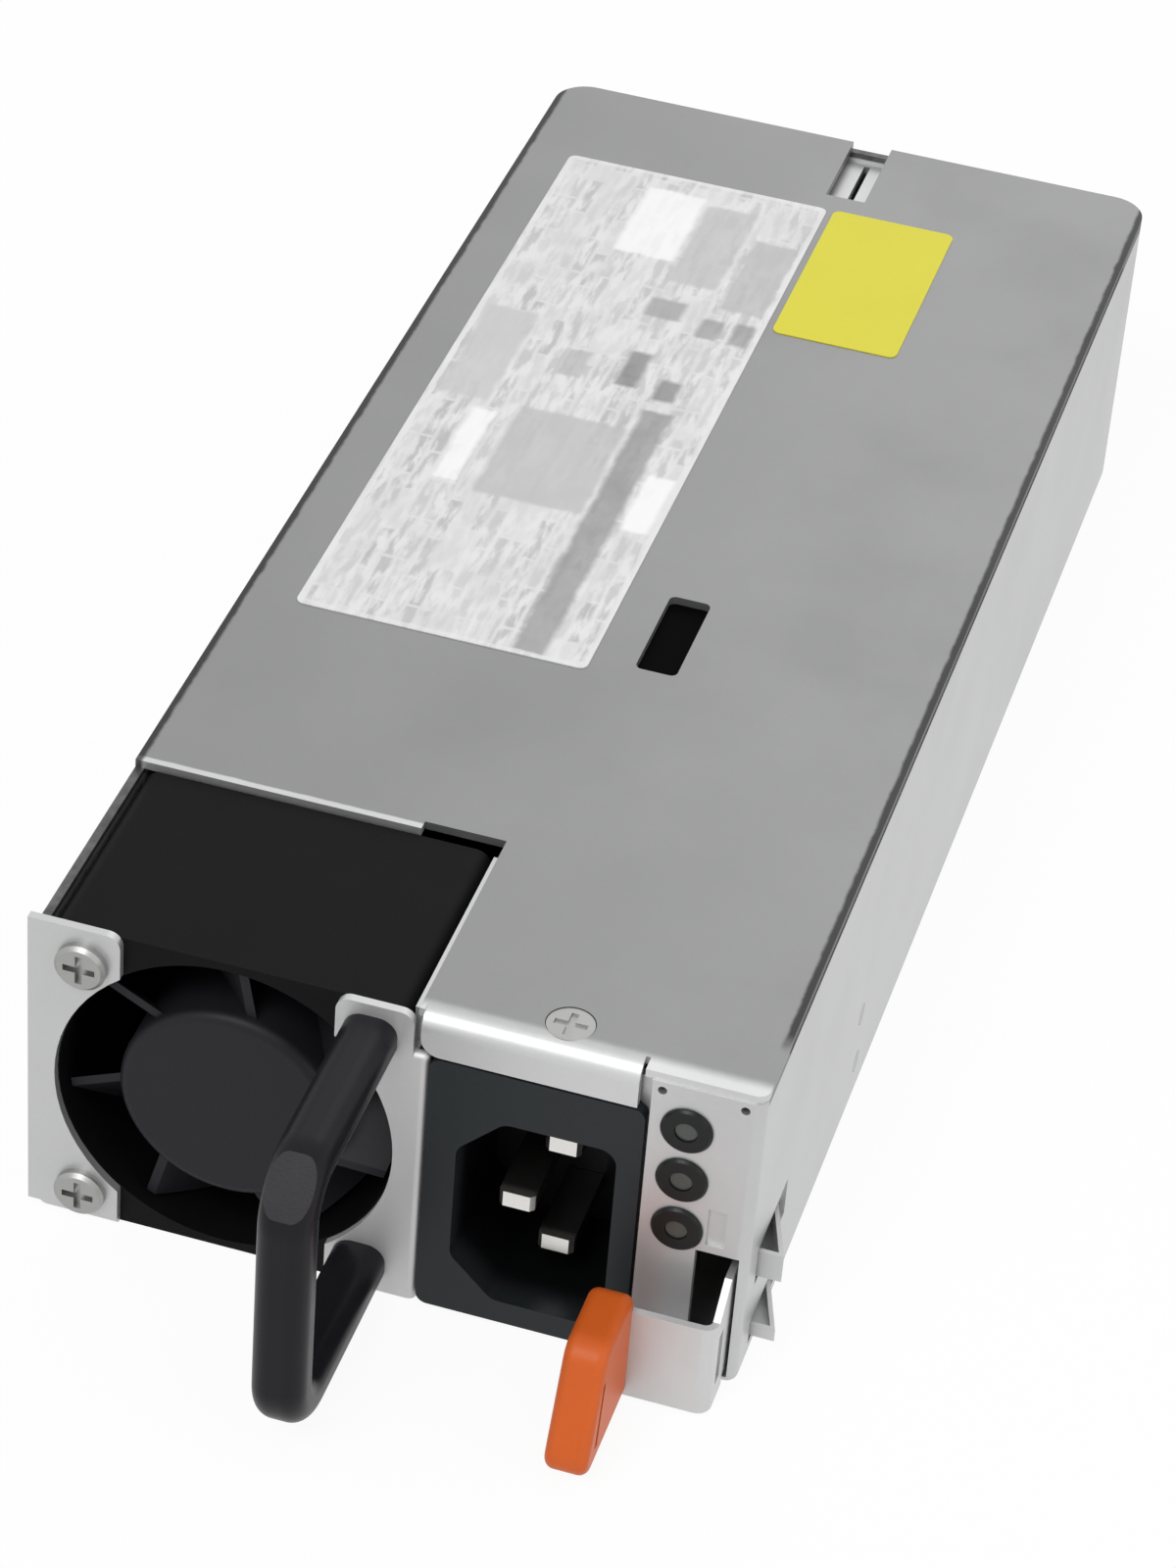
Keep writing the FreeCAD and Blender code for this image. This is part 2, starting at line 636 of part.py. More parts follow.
def make_chassis():
    """Folded tray: floor, both walls, rear wall, left fan flange and right lamp flange."""
    chassis = new_body("chassis")
    sheet_in = s.chassis_sheet
    pad(chassis, "tray", "XY", 0, cover_low,
        [(left, front, s.front_corner), (right, front, s.front_corner),
         (right, rear, s.rear_corner), (left, rear, s.rear_corner)])
    round_edges(chassis, "bottom_bend", "Fillet", s.floor_bend,
                [(left, 0, 0), (right, 0, 0), (0, front, 0), (0, rear, 0)])
    inner_front = s.front_corner - sheet_in
    inner_rear = s.rear_corner - sheet_in
    pocket(chassis, "hollow", "XY", sheet_in, top,
           [(inner_left, front + sheet_in, inner_front), (inner_right, front + sheet_in, inner_front),
            (inner_right, rear - sheet_in, inner_rear), (inner_left, rear - sheet_in, inner_rear)])
    pad(chassis, "left_flange", "XZ", front, front + sheet_in,
        box_outline(left - s.stop_lip, left + s.tab_reach, s.floor_bend, top))
    seam_rear = rear - s.seam_rear
    pocket(chassis, "side_seams", "XY", cover_low - s.side_seam, cover_low + past,
           box_outline(left - past, inner_left + s.fit, bay_rear + s.seam_front, seam_rear),
           box_outline(inner_right - s.fit, right + past, front + s.seam_front, seam_rear))
    pocket(chassis, "fan_bay", "XY", -past, top + past,
           box_outline(inner_left, bay_right, fan_front, bay_rear))
    pocket(chassis, "front_opening", "XZ", front - past, inlet_back,
           box_outline(left + s.tab_reach, led_left, -past, top + past))
    pocket(chassis, "fan_opening", "XZ", front - past, fan_front,
           Circle(fan_x, fan_z, bore + s.opening_margin),
           Circle(screw_left, screw_low, s.fan_hole / 2), Circle(screw_left, screw_high, s.fan_hole / 2))
    tab_end = left + s.tab_reach
    tab_middle = front + sheet_in / 2
    round_edges(chassis, "tab_corners", "Fillet", s.tab_corner,
                [(tab_end, tab_middle, top), (tab_end, tab_middle, 0)])
    cut_lamp_flange(chassis)
    cut_right_wall(chassis)
    cut_rear_wall(chassis)
    add_key_plate(chassis)
    pocket(chassis, "rivet_holes", "XY", -past, sheet_in * 2,
           *(Circle(x, y, s.bracket_rivet + s.bore_fit) for x, y in bracket_rivet_places()))
    return chassis


def cut_lamp_flange(chassis):
    through = front + s.chassis_sheet + s.bore_fit
    lamps = [Circle(lamp_x, height, s.bezel_neck + s.bore_fit) for height in lamp_heights]
    relief_high = cover_low - s.relief_in
    pocket(chassis, "lamp_holes", "XZ", front - past, through, *lamps,
           Circle(led_left + s.relief_in, relief_high, s.relief_radius),
           Circle(right - s.chassis_sheet - s.relief_in, relief_high, s.relief_radius))
    pocket(chassis, "latch_notch", "XZ", front - past, through,
           box_outline(led_left + s.led_notch_left, inner_right, s.chassis_sheet, s.led_notch_high))
    groove_left = led_left + s.led_notch_left + s.chassis_sheet
    groove_low = s.led_notch_high + s.chassis_sheet
    pocket(chassis, "pressed_groove", "XZ", front - past, front + s.groove_depth,
           box_outline(groove_left, groove_left + s.chassis_sheet * 2, groove_low,
                       groove_low + s.chassis_sheet * 5))


def barb_slope():
    """How far the barbs' ramp runs to the rear for each millimetre inwards."""
    return (s.barb_rear - s.barb_front) / grouped(s.barb_reach)


def cut_right_wall(chassis):
    window_front = front + s.barb_front - s.window_margin
    window_rear = front + s.barb_rear + grouped(barb_slope()) * s.chassis_sheet + s.window_margin
    margin = s.window_margin
    pocket(chassis, "barb_windows", "YZ", inner_right - past, right + past,
           box_outline(window_front, window_rear, s.upper_barb_low - margin, s.upper_barb_high + margin),
           box_outline(window_front, window_rear, s.lower_barb_low - margin, s.lower_barb_high + margin))
    pocket(chassis, "latch_rivet_holes", "YZ", inner_right - past, right + past,
           *(Circle(pivot_y, height, s.rivet_radius + s.bore_fit) for height in rivet_heights()))


def rivet_heights():
    return s.rivet_low, s.rivet_low + s.rivet_pitch


def bracket_rivet_places():
    """Two rivets in the centre bracket's foot and two in the inlet bracket's foot."""
    foot_x = inlet_left + s.foot_length / 2
    foot_y = fan_rear - s.foot_length / 2
    frame_x = grouped(inlet_left + inlet_right) / 2
    frame_y = inlet_back + s.bracket_sheet + s.foot_length / 2
    half = s.foot_length / 2
    return [(foot_x, foot_y), (frame_x - half, frame_y), (frame_x + half, frame_y)]


def cut_rear_wall(chassis):
    wall = rear - s.chassis_sheet - s.bore_fit
    side = s.edge_width / 2 + s.board_thick
    pocket(chassis, "card_slot", "XZ", wall, rear + past,
           box_outline(-side, side, s.board_low - s.board_thick, board_high + s.board_thick))
    first = -grouped(s.vent_pitch) * (round(s.vent_count.value) - 1) / 2
    vent = pocket(chassis, "vent", "XZ", wall, rear + past,
                  box_outline(first - s.vent_width / 2, first + s.vent_width / 2,
                              s.vent_low, s.vent_low + s.vent_height, s.vent_width / 3))
    repeat_along(chassis, "vents", [vent], "X", s.vent_pitch, s.vent_count)


def add_key_plate(chassis):
    """Plate under the cover's key notch, bent forward from the rear wall."""
    plate_high = cover_low - s.key_floor
    key_x = left + s.key_left
    pad(chassis, "key_plate", "XY", plate_high - s.chassis_sheet, plate_high,
        box_outline(key_x - s.key_margin, key_x + s.key_width + s.key_margin,
                    rear - s.key_length - s.key_margin, rear - s.chassis_sheet))
    slit = key_x + s.key_width / 2
    pocket(chassis, "key_slit", "XY", plate_high - past, plate_high + s.fit,
           box_outline(slit - s.fit * 4, slit + s.fit * 4, rear - s.key_length, rear - s.chassis_sheet * 2))


def make_top_cover():
    """Flat cover with a rolled front lip, hems inside the walls and a notch for the fan."""
    cover = new_body("top_cover")
    seam = s.seam
    notch_right = inlet_left - s.notch_lap
    lip_left = inlet_left - s.lip_left
    lip_right = inlet_right - s.lip_right
    bend = front + s.lip_bend
    step = bay_rear + s.notch_step
    relief = lip_right + s.seam * 2
    edge = front + s.seam
    key_left = left + s.key_left
    key_right = key_left + s.key_width
    slot_x = left + s.slot_left
    slot_y = front + s.slot_front
    pad(cover, "plate", "XY", cover_low, top,
        [(left, bay_rear), (left + s.notch_step_at, bay_rear), (left + s.notch_step_at, step),
         (notch_right, step), (notch_right, front + s.cover_sheet), (lip_left, front + s.cover_sheet),
         (lip_left, bend), (lip_right, bend), (relief, bend), (relief, edge),
         (right, edge, s.front_corner), (right, rear, s.rear_corner), (key_right, rear),
         (key_right, rear - s.key_length), (key_left, rear - s.key_length), (key_left, rear),
         (left, rear, s.rear_corner)],
        box_outline(slot_x, slot_x + s.slot_width, slot_y, slot_y + s.slot_length, s.slot_width / 6))
    under = front + s.cover_sheet
    joined = bend + s.cover_sheet
    pad(cover, "lip", "YZ", lip_left, lip_right,
        [(joined, top), (front, top, s.lip_bend), (front, lip_low), (under, lip_low),
         (under, cover_low, s.lip_bend - s.cover_sheet), (joined, cover_low)])
    middle = front + s.cover_sheet / 2
    round_edges(cover, "lip_end", "Fillet", grouped(top - lip_low) * 0.4, [(lip_left, middle, lip_low)])
    hem_low = cover_low - s.cover_hem
    hem_front = bay_rear + s.cover_hem
    hem_rear = rear - s.seam_rear - s.cover_hem
    hems = [(inner_left + seam, inner_left + seam + s.hem_sheet),
            (inner_right - seam - s.hem_sheet, inner_right - seam)]
    for number, (hem_in, hem_out) in enumerate(hems):
        pad(cover, f"hem_{number}", "YZ", hem_in, hem_out,
            box_outline(hem_front, hem_rear, hem_low, cover_low))
    screw_x, screw_y = inlet_left + s.dimple_left, front + s.dimple_front
    pocket(cover, "dimple", "XY", top - s.cover_sheet * 0.6, top + past,
           Circle(screw_x, screw_y, s.dimple_radius + s.fit))
    pocket(cover, "screw_hole", "XY", cover_low - past, top + past,
           Circle(screw_x, screw_y, s.screw_radius + s.fit))
    return cover


def make_cover_screw():
    """Flat-headed screw in the dimple, down into the inlet bracket's tab."""
    screw = new_body("cover_screw")
    head_low = top - s.cover_sheet * 0.6
    head_high = top - s.fit
    x, y = inlet_left + s.dimple_left, front + s.dimple_front
    pad(screw, "head", "XY", head_low, head_high, Circle(x, y, s.dimple_radius))
    pad(screw, "shank", "XY", cover_low - s.bracket_sheet * 2, head_low, Circle(x, y, s.screw_radius))
    cut_cross(screw, "XY", x, y, head_high - s.recess_depth / 3, head_high + past)
    return screw


def cut_cross(body, plane, x, y, low, high):
    """Cross recess in a screw head, returned as two features."""
    reach, half = s.recess_length / 2, s.recess_width / 2
    return [pocket(body, "recess_wide", plane, low, high, box_outline(x - reach, x + reach, y - half, y + half)),
            pocket(body, "recess_tall", plane, low, high, box_outline(x - half, x + half, y - reach, y + reach))]


def make_centre_bracket():
    """Divider between fan and inlet: front strip with two fan tabs, return flange and foot."""
    bracket = new_body("centre_bracket")
    bracket_right = inlet_left - s.fit
    face = front + s.bracket_sheet
    tab_left = screw_right - s.screw_head - s.bracket_sheet
    strip_high = lip_low - s.seam
    tab_right = bay_right - s.seam * 3
    low = s.plate_low
    pad(bracket, "strip", "XZ", front, face,
        [(tab_left, low, s.tab_corner), (bracket_right, low), (bracket_right, strip_high, s.seam * 2),
         (tab_right, strip_high), (tab_right, top - low, s.tab_corner), (tab_left, top - low, s.tab_corner)])
    under = cover_low - s.fit
    behind_lip = front + s.lip_bend + s.fit
    flange_left = fan_left + fan_size + s.fit
    pad(bracket, "return_flange", "YZ", flange_left, flange_left + s.bracket_sheet,
        [(front, low), (face, low), (face, s.chassis_sheet), (fan_rear, s.chassis_sheet), (fan_rear, under),
         (behind_lip, under), (behind_lip, strip_high), (front, strip_high)])
    pad(bracket, "foot", "XY", s.chassis_sheet, s.chassis_sheet + s.bracket_sheet,
        box_outline(flange_left, inlet_left + s.foot_length, fan_rear - s.foot_length, fan_rear))
    pocket(bracket, "fan_opening", "XZ", front - past, face,
           Circle(fan_x, fan_z, bore + s.opening_margin),
           Circle(screw_right, screw_low, s.fan_hole / 2), Circle(screw_right, screw_high, s.fan_hole / 2))
    x, y = bracket_rivet_places()[0]
    pocket(bracket, "rivet_hole", "XY", 0, s.chassis_sheet + s.bracket_sheet * 2,
           Circle(x, y, s.bracket_rivet + s.bore_fit))
    round_edges(bracket, "outer_bend", "Fillet", s.bracket_sheet * 0.9,
                [(bracket_right, front, fan_z)])
    return bracket


def make_inlet_bracket():
    """Frame behind the inlet flange, with a foot on the floor and a tab under the cover screw."""
    bracket = new_body("inlet_bracket")
    frame_left, frame_right = inlet_left, led_left
    face = inlet_back + s.bracket_sheet
    body_left = inlet_left + s.inlet_shoulder - s.fit
    body_right = inlet_right - s.inlet_shoulder + s.fit
    screw_x, screw_y = inlet_left + s.dimple_left, front + s.dimple_front
    tab_rear = screw_y + s.foot_length / 2
    tab_low = cover_low - s.bracket_sheet
    pad(bracket, "frame", "XZ", inlet_back, face,
        box_outline(frame_left, frame_right, s.chassis_sheet, tab_low),
        box_outline(body_left, body_right, s.inlet_foot - s.fit, s.inlet_roof + s.fit))
    pad(bracket, "screw_tab", "YZ", screw_x - s.foot_length, screw_x + s.foot_length,
        [(inlet_back, tab_low - s.fit), (inlet_back, tab_low + s.fit), (face, cover_low), (tab_rear, cover_low),
         (tab_rear, tab_low), (face, tab_low), (face, tab_low - s.fit)])
    middle = grouped(inlet_left + inlet_right) / 2
    pad(bracket, "foot", "XY", s.chassis_sheet, s.chassis_sheet + s.bracket_sheet,
        box_outline(middle - s.foot_length, middle + s.foot_length, inlet_back, face + s.foot_length))
    pocket(bracket, "rivet_holes", "XY", 0, s.chassis_sheet + s.bracket_sheet * 2,
           *(Circle(x, y, s.bracket_rivet + s.bore_fit) for x, y in bracket_rivet_places()[1:]))
    pocket(bracket, "screw_hole", "XY", tab_low - past, cover_low + past,
           Circle(screw_x, screw_y, s.screw_radius + s.fit))
    return bracket


def make_bracket_rivets():
    """Rivets that hold both brackets to the floor."""
    rivets = []
    seat = s.chassis_sheet + s.bracket_sheet
    for number, (x, y) in enumerate(bracket_rivet_places()):
        shank = rod(f"bracket_rivet_shank_{number}", "Z", (x, y), s.bracket_rivet, 0, seat, node=False)
        head = rod(f"bracket_rivet_head_{number}", "Z", (x, y), s.bracket_rivet + s.fit, seat,
                   seat + s.fit, node=False)
        rivet = doc.addObject("Part::MultiFuse", f"bracket_rivet_{number}")
        rivet.Shapes = [shank, head]
        rivets.append(rivet)
    combine("bracket_rivets", "Part::Compound", rivets)


# ---- Fan ----

def make_fan_frame():
    """Square frame with the bearing tube on five struts at its rear."""
    frame = new_body("fan_frame")
    holes = [Circle(x, z, s.fan_hole / 2) for x in (screw_left, screw_right) for z in (screw_low, screw_high)]
    half = fan_size / 2
    pad(frame, "square", "XZ", fan_front, fan_rear,
        box_outline(fan_x - half, fan_x + half, fan_z - half, fan_z + half, s.fan_corner),
        Circle(fan_x, fan_z, bore), *holes)
    pad(frame, "disc", "XZ", disc_front, fan_rear, Circle(fan_x, fan_z, s.hub_radius))
    drawing = new_sketch(frame, "strut_outline", "XZ", disc_front, (fan_x, fan_z))
    draw(drawing, [box_outline(-s.strut_width / 2, s.strut_width / 2, s.hub_radius - s.tube_wall,
                               bore + s.opening_margin)])
    strut = frame.newObject("PartDesign::Pad", "strut")
    strut.Profile = drawing
    strut.Reversed = True
    bind(strut, "Length", s.strut_thick)
    repeat_round(frame, "struts", [strut], s.strut_count)
    inside = s.bearing_radius + s.bore_fit
    turn(frame, "bearing_tube", "Revolution", "YZ", fan_x, (0, fan_z), "H_Axis",
         box_outline(tube_front, disc_front + s.fit, inside, tube_radius))
    return frame


def make_impeller():
    """Cup-shaped hub with twisted blades, lofted between an inner and an outer section."""
    impeller = new_body("impeller")
    turn(impeller, "hub", "Revolution", "YZ", fan_x, (0, fan_z), "H_Axis",
         [(hub_front, 0), (hub_end, 0), (hub_end, s.hub_radius), (hub_front, s.hub_radius, s.hub_round)])
    root = blade_section(impeller, "blade_inner", s.blade_root, s.blade_lead)
    tip_lead = s.blade_lead * 1.35
    tip = blade_section(impeller, "blade_outer", bore, tip_lead)
    blade = impeller.newObject("PartDesign::AdditiveLoft", "blade")
    blade.Profile = root
    blade.Sections = [(tip, [""])]
    blade.Ruled = True
    pattern = impeller.newObject("PartDesign::PolarPattern", "blades")
    pattern.Originals = [blade]
    axis = new_sketch(impeller, "fan_axis", "XZ", fan_front, (fan_x, fan_z))
    pattern.Axis = (axis, ["N_Axis"])
    pattern.Angle = 360
    pattern.Occurrences = round(s.blade_count.value)
    impeller.Tip = pattern
    tip_radius = bore - s.blade_gap
    turn(impeller, "tip_trim", "Groove", "YZ", fan_x, (0, fan_z), "H_Axis",
         box_outline(fan_front - past, fan_rear + past, tip_radius, tip_radius + fan_size / 4))
    turn(impeller, "cup", "Groove", "YZ", fan_x, (0, fan_z), "H_Axis",
         box_outline(hub_inside, hub_end + past, 0, yoke_radius))
    return impeller


def blade_section(impeller, name, depth, lead):
    """Cambered blade section at a depth below the axis, from the hub's front to its end."""
    drawing = new_sketch(impeller, name, "XY", fan_z - depth, (fan_x, 0))
    thick = s.blade_thick
    start = hub_front + s.hub_round + s.fit
    end = hub_end - s.fit
    middle = grouped(start + end) / 2
    camber = lead / 4
    draw(drawing, [[(-lead, start), (-lead + thick, start), (camber + thick / 2, middle), (lead, end),
                    (lead - thick, end), (camber - thick / 2, middle)]])
    return drawing


def make_rotor_inside():
    """Steel yoke, ring magnet and shaft inside the hub."""
    yoke = new_body("rotor_yoke")
    yoke_end = stator_rear + s.coil_rise * 2
    turn(yoke, "cup", "Revolution", "YZ", fan_x, (0, fan_z), "H_Axis",
         [(hub_inside, s.shaft_radius + s.bore_fit), (hub_inside, yoke_radius), (yoke_end, yoke_radius),
          (yoke_end, magnet_radius), (hub_inside + s.yoke_wall, magnet_radius),
          (hub_inside + s.yoke_wall, s.shaft_radius + s.bore_fit)])
    magnet = new_body("rotor_magnet")
    turn(magnet, "ring", "Revolution", "YZ", fan_x, (0, fan_z), "H_Axis",
         box_outline(coil_front, stator_rear + s.coil_rise, magnet_radius - s.magnet_thick, magnet_radius))
    rod("fan_shaft", "Y", (fan_x, fan_z), s.shaft_radius, hub_inside, disc_front)


def make_stator():
    """Bearings, stator core, coils and driver board on the fan frame's tube."""
    bearings = new_body("fan_bearings")
    ring = s.shaft_radius + s.bore_fit
    places = [tube_front, disc_front - s.bearing_length]
    for number, start in enumerate(places):
        turn(bearings, f"bearing_{number}", "Revolution", "YZ", fan_x, (0, fan_z), "H_Axis",
             box_outline(start, start + s.bearing_length, ring, s.bearing_radius))
    core = new_body("stator_core")
    pad(core, "ring", "XZ", stator_front, stator_rear,
        Circle(fan_x, fan_z, tube_radius + s.tube_wall), Circle(fan_x, fan_z, tube_radius))
    drawing = new_sketch(core, "pole_outline", "XZ", stator_front, (fan_x, fan_z))
    neck, shoe = s.tube_wall, s.tube_wall * 4
    reach = stator_radius - s.tube_wall
    shoe_high = stator_radius - s.air_gap * 2
    draw(drawing, [[(-neck, tube_radius + s.fit), (neck, tube_radius + s.fit), (neck, reach - s.fit * 4),
                    (shoe, reach - s.tube_wall), (shoe, reach), (neck, shoe_high),
                    (-neck, shoe_high), (-shoe, reach), (-shoe, reach - s.tube_wall),
                    (-neck, reach - s.fit * 4)]])
    pole = core.newObject("PartDesign::Pad", "pole")
    pole.Profile = drawing
    pole.Reversed = True
    bind(pole, "Length", s.stator_length)
    repeat_round(core, "poles", [pole], s.stator_poles)
    coils = new_body("stator_coils")
    drawing = new_sketch(coils, "coil_outline", "XZ", coil_front, (fan_x, fan_z))
    gap = s.fit
    coil_out = neck + s.tube_wall
    low, high = tube_radius + s.tube_wall + gap, reach - s.fit * 8
    draw(drawing, [box_outline(-coil_out, coil_out, low, high)])
    coil = coils.newObject("PartDesign::Pad", "coil")
    coil.Profile = drawing
    coil.Reversed = True
    bind(coil, "Length", s.stator_length + s.coil_rise * 2)
    drawing = new_sketch(coils, "window_outline", "XZ", stator_front - gap, (fan_x, fan_z))
    draw(drawing, [box_outline(-neck - gap, neck + gap, low - s.tube_wall, high + s.tube_wall)])
    window = coils.newObject("PartDesign::Pocket", "window")
    window.Profile = drawing
    bind(window, "Length", s.stator_length + gap * 2)
    repeat_round(coils, "coils", [coil, window], s.stator_poles)
    driver = new_body("fan_driver_board")
    pad(driver, "disc", "XZ", disc_front - s.driver_board, disc_front,
        Circle(fan_x, fan_z, yoke_radius - s.driver_board), Circle(fan_x, fan_z, tube_radius + s.fit))


def pan_screws(name, x, z_low, pitch, seat, length, backwards):
    """Two pan-head screws along Y; backwards ones are driven from the rear."""
    screws = new_body(name)
    side = -1 if backwards else 1
    head_end = seat - s.head_height * side
    shank_end = seat + as_size(length) * side
    rim = s.head_height * 0.35
    turned = turn(screws, "shape", "Revolution", "YZ", x, (0, z_low), "H_Axis",
                  [(head_end, 0), (head_end, s.screw_head - rim), (head_end + rim * side, s.screw_head),
                   (seat, s.screw_head), (seat, s.screw_radius), (shank_end, s.screw_radius), (shank_end, 0)])
    deep = head_end + s.recess_depth * side
    low, high = (deep, head_end + past) if backwards else (head_end - past, deep)
    cross = cut_cross(screws, "XZ", x, z_low, low, high)
    repeat_along(screws, "pair", [turned, *cross], "Z", pitch, as_size(2))


# ---- Handle ----

def make_handle():
    """Moulded D-handle swept along a bent centre line, drilled for the screws at both ends."""
    handle = new_body("handle")
    path = new_sketch(handle, "centre_line", "YZ", screw_right)
    grip = front - s.handle_reach
    bend = s.handle_bend
    y_front, r = grip.value, bend.value
    start = front.value
    low, high = screw_low.value, screw_high.value
    corner = r * (1 - math.sqrt(0.5))
    path.addGeometry([
        Part.LineSegment(Vector(start, high, 0), Vector(y_front + r, high, 0)),
        Part.Arc(Vector(y_front + r, high, 0), Vector(y_front + corner, high - corner, 0),
                 Vector(y_front, high - r, 0)),
        Part.LineSegment(Vector(y_front, high - r, 0), Vector(y_front, low + r, 0)),
        Part.Arc(Vector(y_front, low + r, 0), Vector(y_front + corner, low + corner, 0),
                 Vector(y_front + r, low, 0)),
        Part.LineSegment(Vector(y_front + r, low, 0), Vector(start, low, 0)),
    ])
    constrain(path, [
        Sketcher.Constraint("Horizontal", 0), Sketcher.Constraint("Vertical", 2),
        Sketcher.Constraint("Horizontal", 4),
        Sketcher.Constraint("Tangent", 0, 2, 1, 1), Sketcher.Constraint("Tangent", 1, 2, 2, 1),
        Sketcher.Constraint("Tangent", 2, 2, 3, 1), Sketcher.Constraint("Tangent", 3, 2, 4, 1),
    ], [("DistanceX", (0, 1), front), ("DistanceY", (0, 1), screw_high), ("Radius", (1,), bend),
        ("DistanceX", (2, 1), grip), ("Radius", (3,), bend), ("DistanceX", (4, 2), front),
        ("DistanceY", (4, 2), screw_low)])
    section = new_sketch(handle, "section", "XZ", front)
    half_x, half_z = s.handle_bar / 2, s.handle_thick / 2
    draw(section, [box_outline(screw_right - half_x, screw_right + half_x, screw_high - half_z,
                               screw_high + half_z, s.handle_round)])
    sweep = handle.newObject("PartDesign::AdditivePipe", "bar")
    sweep.Profile = section
    sweep.Spine = path
    knee_y, knee_z = grip + bend - s.knee_flat * 0.7, screw_high - bend + s.knee_flat * 0.7
    pocket(handle, "knee", "YZ", screw_right - s.handle_bar, screw_right + s.handle_bar,
           [(knee_y - bend, knee_z - bend), (knee_y + bend, knee_z + bend), (knee_y - bend, knee_z + bend)])
    pocket(handle, "screw_bores", "XZ", front - s.handle_insert - s.fit, front + past,
           Circle(screw_right, screw_low, s.screw_radius + s.bore_fit),
           Circle(screw_right, screw_high, s.screw_radius + s.bore_fit))
    return handle


# ---- Mains inlet ----

recess_x = inlet_left + s.recess_left
recess_z = s.recess_base + s.recess_high / 2
line_x = recess_x + s.pin_side
pin_places = {
    "pin_line": (line_x, recess_z + s.pin_pitch / 2),
    "pin_neutral": (line_x, recess_z - s.pin_pitch / 2),
    "pin_earth": (line_x - s.pin_offset, recess_z),
}


def make_inlet():
    """Moulded mains inlet with an upright plug recess, cut at its two left corners."""
    inlet = new_body("inlet_body")
    flange_rear = front + s.inlet_flange
    body_rear = front + s.inlet_depth
    pad(inlet, "flange", "XZ", front, flange_rear,
        box_outline(inlet_left, inlet_right, s.plate_low, inlet_high, s.front_corner))
    pad(inlet, "box", "XZ", flange_rear, body_rear,
        box_outline(inlet_left + s.inlet_shoulder, inlet_right - s.inlet_shoulder,
                    s.inlet_foot, s.inlet_roof, s.front_corner))
    end_x = recess_x + s.recess_across
    low, high = s.recess_base, s.recess_base + s.recess_high
    cut, r = s.recess_chamfer, s.recess_round
    pocket(inlet, "plug_recess", "XZ", front - past, front + s.recess_deep,
           [(recess_x + cut, low, r), (end_x, low, r), (end_x, high, r), (recess_x + cut, high, r),
            (recess_x, high - cut, r), (recess_x, low + cut, r)])
    half_wide, half_thick = s.pin_wide / 2 + s.bore_fit, s.pin_thick / 2 + s.bore_fit
    slots = [box_outline(x - half_wide, x + half_wide, z - half_thick, z + half_thick)
             for x, z in pin_places.values()]
    pocket(inlet, "pin_slots", "XZ", front + s.recess_deep - s.fit, body_rear + past, *slots)


def make_pins():
    """Three flat pins through the recess's floor, with chamfered tips."""
    for name, (x, z) in pin_places.items():
        pin = new_body(name)
        reach = s.earth_reach if name == "pin_earth" else as_size(0)
        tip, tail = front + s.pin_back - reach, front + s.pin_tail
        half, bevel = s.pin_wide / 2, s.pin_thick / 4
        pad(pin, "blade", "XY", z - s.pin_thick / 2, z + s.pin_thick / 2,
            [(x - half + bevel, tip), (x + half - bevel, tip), (x + half, tip + bevel), (x + half, tail),
             (x - half, tail), (x - half, tip + bevel)])


def make_inlet_leads():
    """Insulated leads from the pin tails down to the main board."""
    leads = new_body("inlet_leads")
    bend = s.lead_bend
    drops = {"pin_line": s.lead_bend * 3, "pin_neutral": s.lead_bend, "pin_earth": s.lead_bend}
    for name, (x, z) in pin_places.items():
        start = front + s.pin_tail
        drop_y = start + grouped(bend) + s.lead_radius + (drops[name] - s.lead_bend)
        bent_wire(leads, name, x, start, z, drop_y, board_high, bend, s.lead_radius)


def bent_wire(body, name, x, start, height, drop_y, low, bend, radius):
    """A round wire that runs to the rear at a height, bends and drops to a lower level."""
    path = new_sketch(body, name + "_path", "YZ", x)
    y0, z0, y1, z1, r = start.value, height.value, drop_y.value, low.value, bend.value
    corner = r * (1 - math.sqrt(0.5))
    path.addGeometry([
        Part.LineSegment(Vector(y0, z0, 0), Vector(y1 - r, z0, 0)),
        Part.Arc(Vector(y1 - r, z0, 0), Vector(y1 - corner, z0 - corner, 0), Vector(y1, z0 - r, 0)),
        Part.LineSegment(Vector(y1, z0 - r, 0), Vector(y1, z1, 0)),
    ])
    constrain(path, [Sketcher.Constraint("Horizontal", 0), Sketcher.Constraint("Vertical", 2),
                     Sketcher.Constraint("Tangent", 0, 2, 1, 2), Sketcher.Constraint("Tangent", 1, 1, 2, 1)],
              [("DistanceX", (0, 1), start), ("DistanceY", (0, 1), height), ("Radius", (1,), bend),
               ("DistanceX", (2, 2), drop_y), ("DistanceY", (2, 2), low)])
    section = new_sketch(body, name + "_section", "XZ", start)
    draw(section, [Circle(x, height, radius)])
    sweep = body.newObject("PartDesign::AdditivePipe", name + "_wire")
    sweep.Profile = section
    sweep.Spine = path
    return sweep


# ---- Status lamps ----

lamp_low = top - s.lamp_top - s.lamp_pitch * (round(s.lamp_count.value) - 1)
lamp_heights = [lamp_low + s.lamp_pitch * number for number in range(round(s.lamp_count.value))]
lamp_board_y = front + s.board_front + s.spacer_inset


